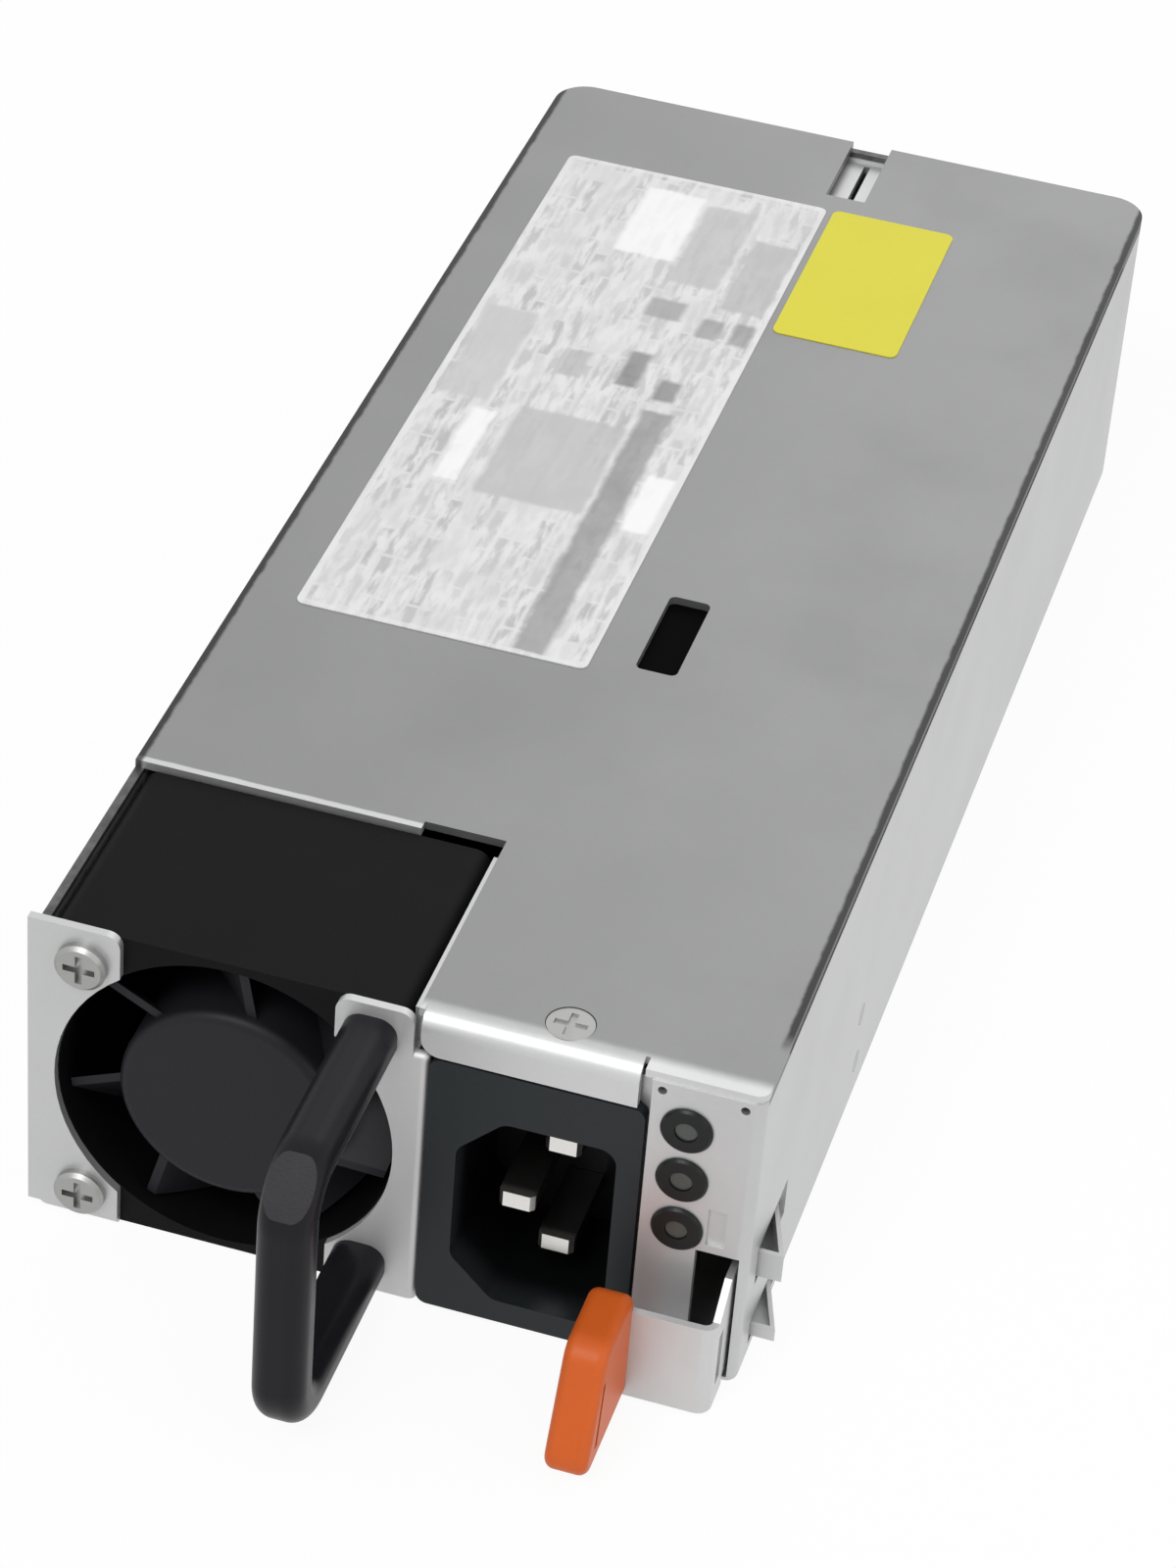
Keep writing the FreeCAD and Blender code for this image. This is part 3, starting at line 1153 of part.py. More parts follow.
def make_lamps():
    """Lamp rings in the flange, light pipes through them, lamps and their upright board."""
    rings = new_body("lamp_rings")
    flange_rear = front + s.chassis_sheet
    rim = s.bezel_rise / 2
    ring = turn(rings, "ring", "Revolution", "YZ", lamp_x, (0, lamp_heights[0]), "H_Axis",
                [(front - s.bezel_rise, s.pipe_radius + s.bore_fit),
                 (front - s.bezel_rise, s.bezel_radius - rim), (front - s.bezel_rise + rim, s.bezel_radius),
                 (front, s.bezel_radius),
                 (front, s.bezel_neck), (flange_rear + s.bezel_rise, s.bezel_neck),
                 (flange_rear + s.bezel_rise, s.pipe_radius + s.bore_fit)])
    repeat_along(rings, "rings", [ring], "Z", s.lamp_pitch, s.lamp_count)
    lamp_front = lamp_board_y - s.board_thick
    pipes = [rod(f"light_pipe_{number}", "Y", (lamp_x, height), s.pipe_radius,
                 front - s.bezel_rise / 2, lamp_front, node=False)
             for number, height in enumerate(lamp_heights)]
    combine("light_pipes", "Part::Compound", pipes)
    half = s.pipe_radius
    lamps = [block(f"status_lamp_{number}", (lamp_x - half, lamp_x + half), (lamp_front, lamp_board_y),
                   (height - half, height + half), node=False)
             for number, height in enumerate(lamp_heights)]
    combine("status_lamps", "Part::Compound", lamps)
    block("lamp_board", (led_left + s.chassis_sheet, led_left + s.led_notch_left),
          (lamp_board_y, lamp_board_y + s.board_thick), (board_high, lamp_heights[-1] + s.pipe_radius * 2))


# ---- Latch ----

def make_latch():
    """Sprung leaf inside the right wall: barbs at its side, a bent plate in front."""
    leaf = new_body("latch_leaf")
    plate_face = front - s.plate_front
    plate_back = plate_face + s.leaf_thick
    leaf_rear = front + s.leaf_rear
    bend_start = plate_face + s.plate_bend
    neck = front - s.seam * 2
    pad(leaf, "strip", "YZ", leaf_inner, leaf_outer,
        [(leaf_rear, s.leaf_low, s.front_corner), (leaf_rear, s.leaf_high, s.front_corner),
         (neck, s.leaf_high), (bend_start, s.plate_high), (bend_start, s.plate_low), (neck, s.plate_low),
         (neck, s.leaf_low)])
    joined = bend_start + s.leaf_thick
    inside = s.plate_bend - s.leaf_thick
    hidden = right - s.tab_side - s.tab_width / 2
    pad(leaf, "front_plate", "XY", s.plate_low, s.plate_high,
        [(leaf_outer, joined), (leaf_inner, joined), (leaf_inner, plate_back, inside),
         (hidden, plate_back), (hidden, plate_face), (leaf_outer, plate_face, s.plate_bend)])
    slot_front = front - s.plate_front / 2 - s.leaf_thick
    pocket(leaf, "side_slot", "YZ", leaf_inner - past, leaf_outer + past,
           box_outline(slot_front, slot_front + s.leaf_thick * 2, s.plate_high / 4, s.plate_high * 0.8))
    start_y = front + s.barb_front
    foot_x = leaf_outer - s.leaf_thick / 2
    slope, wall, tip_x = grouped(barb_slope()), s.barb_wall, right + s.barb_reach
    foot_run = slope * (right - foot_x)
    ramp = wall * 3
    for name, low, high in (("upper_barb", s.upper_barb_low, s.upper_barb_high),
                            ("lower_barb", s.lower_barb_low, s.lower_barb_high)):
        pad(leaf, name, "XY", low, high,
            [(foot_x, start_y), (tip_x, start_y), (foot_x, front + s.barb_rear + foot_run)])
        pocket(leaf, name + "_pocket", "XY", low + wall, high + past,
               [(leaf_outer, start_y + wall), (tip_x - grouped(wall + ramp) / slope, start_y + wall),
                (leaf_outer, start_y + grouped(tip_x - leaf_outer) * slope - ramp)])
    pocket(leaf, "rivet_holes", "YZ", leaf_inner - past, leaf_outer + past,
           *(Circle(pivot_y, height, s.rivet_radius + s.rivet_play) for height in rivet_heights()))
    return leaf


def make_latch_rivets():
    """Two rivets in the right wall, their heads just clear of the leaf."""
    rivets = new_body("latch_rivets")
    head_out = leaf_inner - s.rivet_play
    dome = s.leaf_thick / 2
    rivet = turn(rivets, "rivet", "Revolution", "XY", s.rivet_low, (0, pivot_y), "H_Axis",
                 [(head_out - s.leaf_thick, 0), (right, 0), (right, s.rivet_radius),
                  (head_out, s.rivet_radius), (head_out, s.rivet_head), (head_out - dome, s.rivet_head),
                  (head_out - s.leaf_thick, s.rivet_head - dome)])
    repeat_along(rivets, "pair", [rivet], "Z", s.rivet_pitch, as_size(2))


def make_release_tab():
    """Moulded finger tab on the end of the latch plate, with a moulded slit on its side."""
    tab = new_body("release_tab")
    tab_x = right - s.tab_side - s.tab_width
    tab_right = tab_x + s.tab_width
    rear_y, front_y = front - s.tab_rear, front - s.tab_front
    upper_y = front_y + s.tab_slope
    r = s.tab_round
    pad(tab, "shape", "YZ", tab_x, tab_right,
        [(rear_y, s.tab_low, r), (rear_y, s.tab_high, r * 2), (upper_y, s.tab_high, r * 3),
         (front_y, s.tab_low, r * 2)])
    middle_z = grouped(s.tab_low + s.tab_high) / 2
    round_edges(tab, "rims", "Fillet", r, [(tab_x, rear_y, middle_z), (tab_right, rear_y, middle_z)])
    play = s.bore_fit
    plate_face = front - s.plate_front
    hidden = tab_x + s.tab_width / 2 - play
    pocket(tab, "plate_slot", "XZ", plate_face - play, plate_face + s.leaf_thick + play,
           box_outline(hidden, tab_right + past, s.plate_low - play - past, s.plate_high + play))
    slit_y = upper_y - s.tab_slope * 0.1
    lean = s.tab_slope * 0.25
    slit = s.leaf_thick
    slit_low, slit_high = s.tab_high * 0.2, s.tab_high * 0.72
    pocket(tab, "slit", "YZ", tab_right - s.leaf_thick, tab_right + past,
           [(slit_y - lean, slit_low), (slit_y - lean + slit, slit_low), (slit_y + slit, slit_high),
            (slit_y, slit_high)])


# ---- Boards and what they carry ----

spacer_x = (board_left + s.spacer_inset, board_end - s.spacer_inset)
spacer_y = (board_y + s.spacer_inset, rear - s.board_rear - s.spacer_inset)
spacer_places = [(x, y) for x in spacer_x for y in spacer_y]


def make_main_board():
    """Main board round the fan, with a card edge through the rear wall and its gold fingers."""
    board = new_body("main_board")
    board_front = front + s.board_front
    step_x = bay_right + s.board_fan_gap
    board_back = rear - s.board_rear
    half = s.edge_width / 2
    tip = rear + s.edge_reach
    pad(board, "board", "XY", s.board_low, board_high,
        [(board_left, board_y), (step_x, board_y), (step_x, board_front), (board_end, board_front),
         (board_end, board_back), (half, board_back), (half, tip, s.board_thick), (-half, tip, s.board_thick),
         (-half, board_back), (board_left, board_back)],
        *(Circle(x, y, s.board_screw + s.bore_fit) for x, y in spacer_places))
    fingers = new_body("gold_fingers")
    finger_rear = tip - s.board_thick
    first = -grouped(s.finger_pitch) * (round(s.finger_count.value) - 1) / 2
    outline = box_outline(first - s.finger_width / 2, first + s.finger_width / 2,
                          finger_rear - s.finger_length, finger_rear)
    faces = [pad(fingers, "upper_finger", "XY", board_high, board_high + s.finger_thick, outline),
             pad(fingers, "lower_finger", "XY", s.board_low - s.finger_thick, s.board_low, outline)]
    repeat_along(fingers, "row", faces, "X", s.finger_pitch, s.finger_count)


def make_board_mounts():
    """Spacers on the floor and the screws that hold the main board on them."""
    spacers, screws = [], []
    head_high = board_high + s.board_thick
    for number, (x, y) in enumerate(spacer_places):
        tube = rod(f"spacer_tube_{number}", "Z", (x, y), s.spacer_radius, s.chassis_sheet, s.board_low,
                   node=False)
        hole = rod(f"spacer_hole_{number}", "Z", (x, y), s.board_screw + s.bore_fit,
                   s.chassis_sheet + s.film_thick * 2, s.board_low, node=False)
        spacers.append(cut_away(f"board_spacer_{number}", tube, hole, node=False))
        shank = rod(f"board_screw_shank_{number}", "Z", (x, y), s.board_screw,
                    s.chassis_sheet + s.film_thick * 3, board_high, node=False)
        head = rod(f"board_screw_head_{number}", "Z", (x, y), s.board_head, board_high, head_high, node=False)
        screw = doc.addObject("Part::MultiFuse", f"board_screw_{number}")
        screw.Shapes = [shank, head]
        screws.append(screw)
    combine("board_spacers", "Part::Compound", spacers)
    combine("board_screws", "Part::Compound", screws)


def make_films():
    """Insulating films: one under the cover and one under the main board."""
    cover_film = new_body("cover_film")
    side = s.seam + s.hem_sheet + s.fit
    film_high = cover_low
    pad(cover_film, "sheet", "XY", film_high - s.film_thick, film_high,
        box_outline(inner_left + side, inner_right - side, bay_rear + s.cover_hem,
                    rear - s.key_length - s.key_margin * 2))
    board_film = new_body("board_film")
    clear = s.spacer_radius + s.fit
    pad(board_film, "sheet", "XY", s.chassis_sheet, s.chassis_sheet + s.film_thick,
        box_outline(board_left, board_end - s.fan_clearance * 2, board_y, rear - s.board_rear),
        *(Circle(x, y, clear) for x, y in spacer_places))


def standing_block(name, x, y, wide, deep, high):
    """A box on the main board from its left front corner."""
    return block(name, (x, x + wide), (y, y + deep), (board_high, board_high + high))


def make_input_stage():
    """Relay, fuse, X capacitor and filter choke behind the fan and the inlet."""
    standing_block("relay", board_left + s.relay_left, front + s.relay_front, s.relay_wide, s.relay_long,
                   s.relay_high)
    fuse_x = board_left + s.fuse_left
    fuse = rod("fuse", "X", (front + s.fuse_front, board_high + s.fuse_rise), s.fuse_radius,
               fuse_x, fuse_x + s.fuse_long)
    clip_y = front + s.fuse_front
    clips = [block(f"fuse_clip_{number}", (x, x + s.board_thick),
                   (clip_y - s.fuse_radius, clip_y + s.fuse_radius),
                   (board_high, board_high + s.fuse_rise - s.fuse_radius), node=False)
             for number, x in enumerate((fuse_x + s.fit, fuse_x + s.fuse_long - s.board_thick * 2))]
    combine("fuse_clips", "Part::Compound", clips)
    cap_left = grouped(lead_x + s.plug_wide / 2 + s.x_cap_side)
    standing_block("x_capacitor", cap_left, front + s.x_cap_front,
                   board_end - s.x_cap_right - cap_left, s.x_cap_deep, s.x_cap_high)
    choke_x, choke_y = board_end - s.emi_right, front + s.emi_front
    low = board_high + s.wire_layer
    core = new_body("filter_choke_core")
    turn(core, "ring", "Revolution", "XZ", choke_y, (choke_x, 0), "V_Axis",
         box_outline(s.emi_bore, s.emi_radius, low, low + s.emi_high))
    winding = new_body("filter_choke_winding")
    half = ring_winding(winding, "XZ", choke_y, (choke_x, 0), "V_Axis", (s.emi_bore, s.emi_radius),
                        (low, low + s.emi_high), False)
    half.Angle = 150
    pattern = winding.newObject("PartDesign::PolarPattern", "halves")
    pattern.Originals = [half]
    pattern.Axis = (half.Profile[0], ["V_Axis"])
    pattern.Occurrences = 2
    winding.Tip = pattern


def ring_winding(body, plane, at, origin, axis, across, along, level):
    """Wire layer round a ring core's section, turned about the core's axis."""
    wire, play = s.wire_layer, s.bore_fit
    (inner, outer), (low, high) = across, along
    outline = [(inner - wire, low), (inner, low - wire), (outer, low - wire), (outer + wire, low),
               (outer + wire, high), (outer, high + wire), (inner, high + wire), (inner - wire, high)]
    window = box_outline(inner - play, outer + play, low - play, high + play)
    if level:
        outline = [(y, x) for x, y in outline]
        window = [(y, x) for x, y in window]
    return turn(body, "winding", "Revolution", plane, at, origin, axis, outline, window)


def make_boost_stage():
    """Boost choke, primary heat sink with its transistors and rectifier, bulk capacitors."""
    choke_x = board_end - s.boost_right
    choke_y = front + s.boost_front
    choke_z = board_high + s.wire_layer + s.boost_radius
    low, high = choke_x - s.boost_wide / 2, choke_x + s.boost_wide / 2
    core = new_body("boost_choke_core")
    turn(core, "ring", "Revolution", "XY", choke_z, (0, choke_y), "H_Axis",
         [(y, x) for x, y in box_outline(s.boost_bore, s.boost_radius, low, high)])
    winding = new_body("boost_choke_winding")
    ring_winding(winding, "XY", choke_z, (0, choke_y), "H_Axis", (s.boost_bore, s.boost_radius),
                 (low, high), True)
    bulk = new_body("bulk_capacitors")
    radius, bead = s.bulk_radius, s.bulk_bead
    start = front + s.bulk_front
    bead_at = start + s.bulk_bead * 6
    end = start + s.bulk_long
    can_x = board_left + s.bulk_left + radius
    can = turn(bulk, "can", "Revolution", "YZ", can_x, (0, board_high + radius), "H_Axis",
               [(start, 0), (end, 0), (end, radius - bead), (end - bead, radius), (bead_at + bead, radius),
                (bead_at, radius - bead), (bead_at - bead, radius), (start + bead, radius),
                (start, radius - bead)])
    repeat_along(bulk, "pair", [can], "X", radius * 2 + s.bulk_gap, as_size(2))
    sink_x = board_end - s.sink_base - s.sink_fin
    sink_y = front + s.sink_front
    make_heat_sink("primary_heat_sink", sink_x, sink_y, s.sink_long, s.sink_base, s.sink_fin)
    first = sink_y + s.transistor_wide / 2
    make_transistors("power_transistors", sink_x - s.transistor_thick, first)
    bridge_y = first + grouped(s.transistor_pitch) * 2 + s.transistor_wide / 2 + s.transistor_lead
    block("bridge_rectifier", (sink_x - s.transistor_thick, sink_x), (bridge_y, sink_y + s.sink_long),
          (board_high, board_high + s.transistor_rise + s.transistor_high))


def make_heat_sink(name, x, y, length, base, fin):
    """Upright plate along Y with a comb of fins on its right side, extruded upwards."""
    sink = new_body(name)
    side = x + base
    pad(sink, "base", "XY", board_high, board_high + s.sink_high, box_outline(x, side, y, y + length))
    fin_pad = pad(sink, "fin", "XY", board_high, board_high + s.sink_high,
                  box_outline(side - s.fit, side + fin, y, y + s.sink_fin_thick))
    count = int((length.value - s.sink_fin_thick.value) / s.fin_pitch.value) + 1
    repeat_along(sink, "fins", [fin_pad], "Y", s.fin_pitch, as_size(count))


def make_transistors(name, x, first_y):
    """Three transistors against a heat sink, each on three leads."""
    group = new_body(name)
    half = s.transistor_wide / 2
    low = board_high + s.transistor_rise
    case = pad(group, "case", "YZ", x, x + s.transistor_thick,
               box_outline(first_y - half, first_y + half, low, low + s.transistor_high, s.fit * 4),
               Circle(first_y, low + s.transistor_high - s.transistor_thick / 2, s.transistor_lead))
    lead_half = s.transistor_lead / 2
    step = s.transistor_wide / 4
    middle = x + s.transistor_thick / 2
    leads = pad(group, "leads", "YZ", middle - lead_half, middle + lead_half,
                *(box_outline(first_y + offset - lead_half, first_y + offset + lead_half, board_high, low + s.fit)
                  for offset in (-step, as_size(0), step)))
    repeat_along(group, "three", [case, leads], "Y", s.transistor_pitch, as_size(3))


def make_output_stage():
    """Transformer, secondary heat sink, control board, output inductor, capacitors and bars."""
    core_x, core_y = s.core_x, rear - s.core_rear
    half_wide, half_deep, half_leg = s.core_wide / 2, s.core_deep / 2, s.core_leg / 2
    low, high = board_high, board_high + s.core_high
    window_low, window_high = low + s.core_yoke, high - s.core_yoke
    limb = half_leg + s.winding_thick + s.fit * 5
    core = new_body("transformer_core")
    pad(core, "core", "XZ", core_y - half_deep, core_y + half_deep,
        box_outline(core_x - half_wide, core_x + half_wide, low, high),
        box_outline(core_x - limb, core_x - half_leg, window_low, window_high),
        box_outline(core_x + half_leg, core_x + limb, window_low, window_high))
    winding = new_body("transformer_winding")
    wrap = s.winding_thick
    play = s.fit
    pad(winding, "winding", "XY", window_low + play, window_high - play,
        box_outline(core_x - half_leg - wrap, core_x + half_leg + wrap, core_y - half_deep - wrap,
                    core_y + half_deep + wrap, wrap / 2),
        box_outline(core_x - half_leg - play, core_x + half_leg + play, core_y - half_deep - play,
                    core_y + half_deep + play))
    sink_x = board_left + s.board_thick
    sink_y = rear - s.second_rear
    make_heat_sink("secondary_heat_sink", sink_x, sink_y, s.second_long, s.sink_base, s.sink_fin)
    control_x = board_left + s.control_left
    control_y = rear - s.control_rear
    block("control_board", (control_x, control_x + s.board_thick), (control_y, control_y + s.control_long),
          (board_high, board_high + s.control_high))
    output_y = rear - s.output_rear
    row = grouped(s.output_pitch) * (round(s.output_count.value) - 1)
    first_x = -row / 2
    can_top = board_high + s.output_high
    capacitors = new_body("output_capacitors")
    can = turn(capacitors, "can", "Revolution", "XZ", output_y, (first_x, 0), "V_Axis",
               [(0, board_high), (s.output_radius, board_high), (s.output_radius, can_top - s.bulk_bead),
                (s.output_radius - s.bulk_bead, can_top), (0, can_top)])
    repeat_along(capacitors, "row", [can], "X", s.output_pitch, s.output_count)
    inductor_y = output_y - s.output_radius - s.board_thick
    standing_block("output_inductor", sink_x + s.sink_base + s.sink_fin + s.board_thick,
                   inductor_y - s.inductor_wide, s.inductor_wide - s.board_thick, s.inductor_wide, s.inductor_high)
    bar_y = rear - s.board_rear - s.bar_long - s.board_thick
    bars = [block(f"output_bar_{number}", (x, x + s.bar_wide), (bar_y, bar_y + s.bar_long),
                  (board_high, board_high + s.bar_high), node=False)
            for number, x in enumerate((-s.bar_gap / 2 - s.bar_wide, s.bar_gap / 2))]
    combine("output_bars", "Part::Compound", bars)


def make_fan_lead():
    """Fan lead from the frame's rear down to its plug and header on the main board."""
    lead = new_body("fan_lead")
    height = fan_z + s.fan_lead_rise
    plug_low = board_high + s.header_high
    plug_high = plug_low + s.plug_high
    plug_y = fan_rear + s.fan_lead_bend + s.plug_deep
    bent_wire(lead, "lead", lead_x, fan_rear, height, plug_y, plug_high, s.fan_lead_bend, s.fan_lead_radius)
    half_wide, half_deep = s.plug_wide / 2, s.plug_deep / 2
    across = (lead_x - half_wide, lead_x + half_wide)
    along = (plug_y - half_deep, plug_y + half_deep)
    block("fan_header", across, along, (board_high, plug_low))
    block("fan_plug", across, along, (plug_low, plug_high))


make_chassis()
make_top_cover()
make_cover_screw()
make_centre_bracket()
make_inlet_bracket()
make_bracket_rivets()
make_fan_frame()
make_impeller()
make_rotor_inside()
make_stator()
pan_screws("fan_screws", screw_left, screw_low, fan_pitch, front, s.screw_length, False)
pan_screws("handle_screws", screw_right, screw_low, fan_pitch, fan_rear,
           fan_rear - front + s.handle_insert, True)
make_handle()
make_inlet()
make_pins()
make_inlet_leads()
make_lamps()
make_latch()
make_latch_rivets()
make_release_tab()
make_main_board()
make_board_mounts()
make_films()
make_input_stage()
make_boost_stage()
make_output_stage()
make_fan_lead()

doc.recompute()
for thing in doc.Objects:
    if {"Invalid", "Error"} & set(thing.State):
        raise RuntimeError(f"{thing.Label} failed: {thing.State}")
for node in nodes:
    if node.Shape.isNull() or not node.Shape.isValid():
        raise RuntimeError(f"{node.Label} has no valid shape")

os.makedirs("parts", exist_ok=True)
for node in nodes:
    node.Shape.exportStep(f"parts/{node.Label}.step")
    print(f"{node.Label}: {len(node.Shape.Solids)} solids, {node.Shape.Volume:.1f} mm3")
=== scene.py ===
# %% [markdown]
# # A hot swap power supply for a server
# The real part is a folded steel box that slides into a bay at the back of a server. Its front
# end holds a fan, a pull handle, a mains inlet, three lamps and an orange release tab. The solids
# come ready made from the packed part. This file gives each of them its finish, adds the two
# paper labels on the cover, and sets up the camera, the floor and the light.

# %% Load the packed part
import math

import bmesh
import bpy
from mathutils import Matrix, Vector


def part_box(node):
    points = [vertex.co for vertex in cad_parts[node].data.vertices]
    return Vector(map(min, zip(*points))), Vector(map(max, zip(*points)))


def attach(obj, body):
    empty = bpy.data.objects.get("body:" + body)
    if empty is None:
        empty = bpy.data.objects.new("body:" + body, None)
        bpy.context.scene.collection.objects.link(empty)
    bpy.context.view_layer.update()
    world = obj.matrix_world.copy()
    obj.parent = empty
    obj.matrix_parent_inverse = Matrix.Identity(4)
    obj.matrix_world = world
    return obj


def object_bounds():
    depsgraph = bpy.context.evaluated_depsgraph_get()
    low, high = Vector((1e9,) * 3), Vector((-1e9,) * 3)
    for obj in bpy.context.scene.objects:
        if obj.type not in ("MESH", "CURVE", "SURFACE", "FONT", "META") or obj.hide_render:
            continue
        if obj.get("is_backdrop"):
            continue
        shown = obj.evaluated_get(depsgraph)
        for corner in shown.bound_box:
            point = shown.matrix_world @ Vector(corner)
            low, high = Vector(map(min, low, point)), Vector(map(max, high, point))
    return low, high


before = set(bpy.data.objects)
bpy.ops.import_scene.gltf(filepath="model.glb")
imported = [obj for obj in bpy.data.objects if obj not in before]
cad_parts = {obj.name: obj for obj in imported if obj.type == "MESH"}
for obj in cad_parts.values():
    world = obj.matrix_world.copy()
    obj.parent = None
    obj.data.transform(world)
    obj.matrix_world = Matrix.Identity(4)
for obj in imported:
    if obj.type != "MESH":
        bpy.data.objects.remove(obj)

MM = 0.001
cad_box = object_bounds()


# %% [markdown]
# ## Camera
# The part is seen from above its front right corner, with a long lens, so its long sides draw
# together only a little. A camera could be placed by hand, but an azimuth, an elevation, a roll
# and a distance from one aimed point say more clearly where it stands. The three axes of the
# camera are worked out as vectors, and they are the columns of its matrix.

# %% Place the camera
LENS = 115.67  # focal length in mm, on Blender's own 36 mm wide sensor
AZIMUTH, ELEVATION, ROLL = (math.radians(angle) for angle in (13.98, 37.59, 4.78))
AIM = Vector((1.1, -25.3, 20.0)) * MM
DISTANCE = 587.15 * MM
NEAREST, FARTHEST = 0.01, 20.0


def place_camera():
    """A camera on a sphere round the aimed point, rolled about its own line of sight."""
    forward = Vector((-math.sin(AZIMUTH) * math.cos(ELEVATION),
                      math.cos(AZIMUTH) * math.cos(ELEVATION), -math.sin(ELEVATION)))
    level = forward.cross(Vector((0, 0, 1))).normalized()
    raised = level.cross(forward)
    across = level * math.cos(ROLL) + raised * math.sin(ROLL)
    upright = raised * math.cos(ROLL) - level * math.sin(ROLL)
    data = bpy.data.cameras.new("camera")
    data.lens = LENS
    data.clip_start, data.clip_end = NEAREST, FARTHEST
    camera = bpy.data.objects.new("camera", data)
    bpy.context.scene.collection.objects.link(camera)
    turn = Matrix((across, upright, -forward)).transposed()
    camera.matrix_world = Matrix.Translation(AIM - forward * DISTANCE) @ turn.to_4x4()
    bpy.context.scene.camera = camera
    return camera


camera = place_camera()
print("camera stands at", [round(value, 3) for value in camera.matrix_world.translation])


# %% [markdown]
# ## Shader maths as arithmetic
# A finish is a tree of nodes. Wiring each Math node by hand hides what is worked out, so a small
# class wraps a socket, and adding or multiplying two of them adds the Math node by itself. The
# reflected forms, such as `__rsub__`, let a plain number stand on the left, as in `1 - mask`.

# %% A socket that can be added and multiplied
def join(place, value):
    """Feed a socket with a wire, a colour or a number."""
    if isinstance(value, Wire):
        place.id_data.links.new(value.socket, place)
    elif place.type == "RGBA":
        place.default_value = (*value, 1.0)
    else:
        place.default_value = value


class Wire:
    """One output socket of a node tree, with arithmetic."""

    def __init__(self, socket):
        self.socket = socket

    def maths(self, operation, first, second):
        """Add a Math node and give back its output."""
        node = self.socket.id_data.nodes.new("ShaderNodeMath")
        node.operation = operation
        for place, value in zip(node.inputs, (first, second)):
            join(place, value)
        return Wire(node.outputs[0])

    def __add__(self, other):
        return self.maths("ADD", self, other)

    def __sub__(self, other):
        return self.maths("SUBTRACT", self, other)

    def __rsub__(self, other):
        return self.maths("SUBTRACT", other, self)

    def __mul__(self, other):
        return self.maths("MULTIPLY", self, other)

    def __truediv__(self, other):
        return self.maths("DIVIDE", self, other)

    def __abs__(self):
        return self.maths("ABSOLUTE", self, 0)

    def __lt__(self, other):
        return self.maths("LESS_THAN", self, other)

    def __gt__(self, other):
        return self.maths("GREATER_THAN", self, other)

    __radd__ = __add__
    __rmul__ = __mul__


print("a wire knows: + - * / abs() < >")


# %% [markdown]
# ## One method for every other node
# Noise, mapping, mixing and bump nodes differ only in their type, their settings and what goes
# into their sockets. One method takes these three, so a finish reads as a few plain lines. Each
# socket is named as in the editor, with underscores for spaces. Where several sockets share a
# name, as on a Mix node, `at6` means the socket with number 6.

# %% A tree that can add any node
class Tree:
    """A node tree with one method that adds any node."""

    def __init__(self, tree):
        self.tree = tree

    def node(self, kind, settings=None, out=0, **sockets):
        """Add one node, make its settings, feed its sockets and give back one output."""
        node = self.tree.nodes.new(kind)
        for name, value in (settings or {}).items():
            setattr(node, name, value)
        for name, value in sockets.items():
            place = int(name[2:]) if name.startswith("at") else name.replace("_", " ")
            join(node.inputs[place], value)
        return Wire(node.outputs[out])


kinds = [name for name in dir(bpy.types) if name.startswith("ShaderNode")]
print("kinds of shader node to choose from:", len(kinds))


# %% [markdown]
# ## What every finish shares
# Each finish starts from one Principled shader and from the point of the surface that is being
# shaded, in Object coordinates. A few helpers say what is wanted in plain words: a mottle is
# noise of one size, a step rises from 0 to 1, a band is 1 between two places, and a bump is
# relief. They could be written out each time, but then the sizes would be lost among the nodes.

# %% A finish and its helpers
class Finish(Tree):
    """A material with one Principled shader, and helpers that add nodes to it."""

    def __init__(self, name):
        self.material = bpy.data.materials.new(name)
        self.material.use_nodes = True
        super().__init__(self.material.node_tree)
        self.shader = self.tree.nodes["Principled BSDF"]
        self.point = self.node("ShaderNodeTexCoord", out="Object")
        self.x, self.y, self.z = (self.node("ShaderNodeSeparateXYZ", out=axis, Vector=self.point)
                                  for axis in "XYZ")

    def mottle(self, size, detail=3.0, stretch=(1, 1, 1), seed=0.0):
        """Noise from 0 to 1 with features of one size in metres, stretched along the axes."""
        scale = tuple(1 / (size * factor) for factor in stretch)
        place = self.node("ShaderNodeMapping", Vector=self.point, Location=(seed, seed, seed),
                          Scale=scale)
        return self.node("ShaderNodeTexNoise", Vector=place, Scale=1.0, Detail=detail)

    def mix(self, share, first, second):
        """A colour between two colours."""
        return self.node("ShaderNodeMix", {"data_type": "RGBA"}, out=2, Factor=share,
                         at6=first, at7=second)

    def step(self, value, low, high):
        """0 at low and 1 at high, with a smooth rise between. low may be the larger number."""
        return self.node("ShaderNodeMapRange", {"interpolation_type": "SMOOTHSTEP"},
                         Value=value, From_Min=low, From_Max=high)

    def band(self, value, low, high, blur):
        """1 between low and high, and 0 outside them, with soft ends."""
        return (self.step(value, low - blur, low + blur)
                * self.step(value, high + blur, high - blur))

    def bump(self, height, depth, strength):
        """Relief in the surface, depth in metres."""
        join(self.shader.inputs["Normal"],
             self.node("ShaderNodeBump", Height=height, Distance=depth, Strength=strength))

    def set(self, **sockets):
        """Feed the shader's own sockets."""
        for name, value in sockets.items():
            join(self.shader.inputs[name.replace("_", " ")], value)


print("helpers of a finish:", [name for name in vars(Finish) if not name.startswith("_")])


# %% [markdown]
# ## Giving out the finishes
# A solid keeps its shape and place, and only its material slots are filled. Every finish is made
# and given out in one line, with the names of the solids that wear it, so it is easy to see what
# is made of what. A set of the dressed solids shows at the end whether one was forgotten.

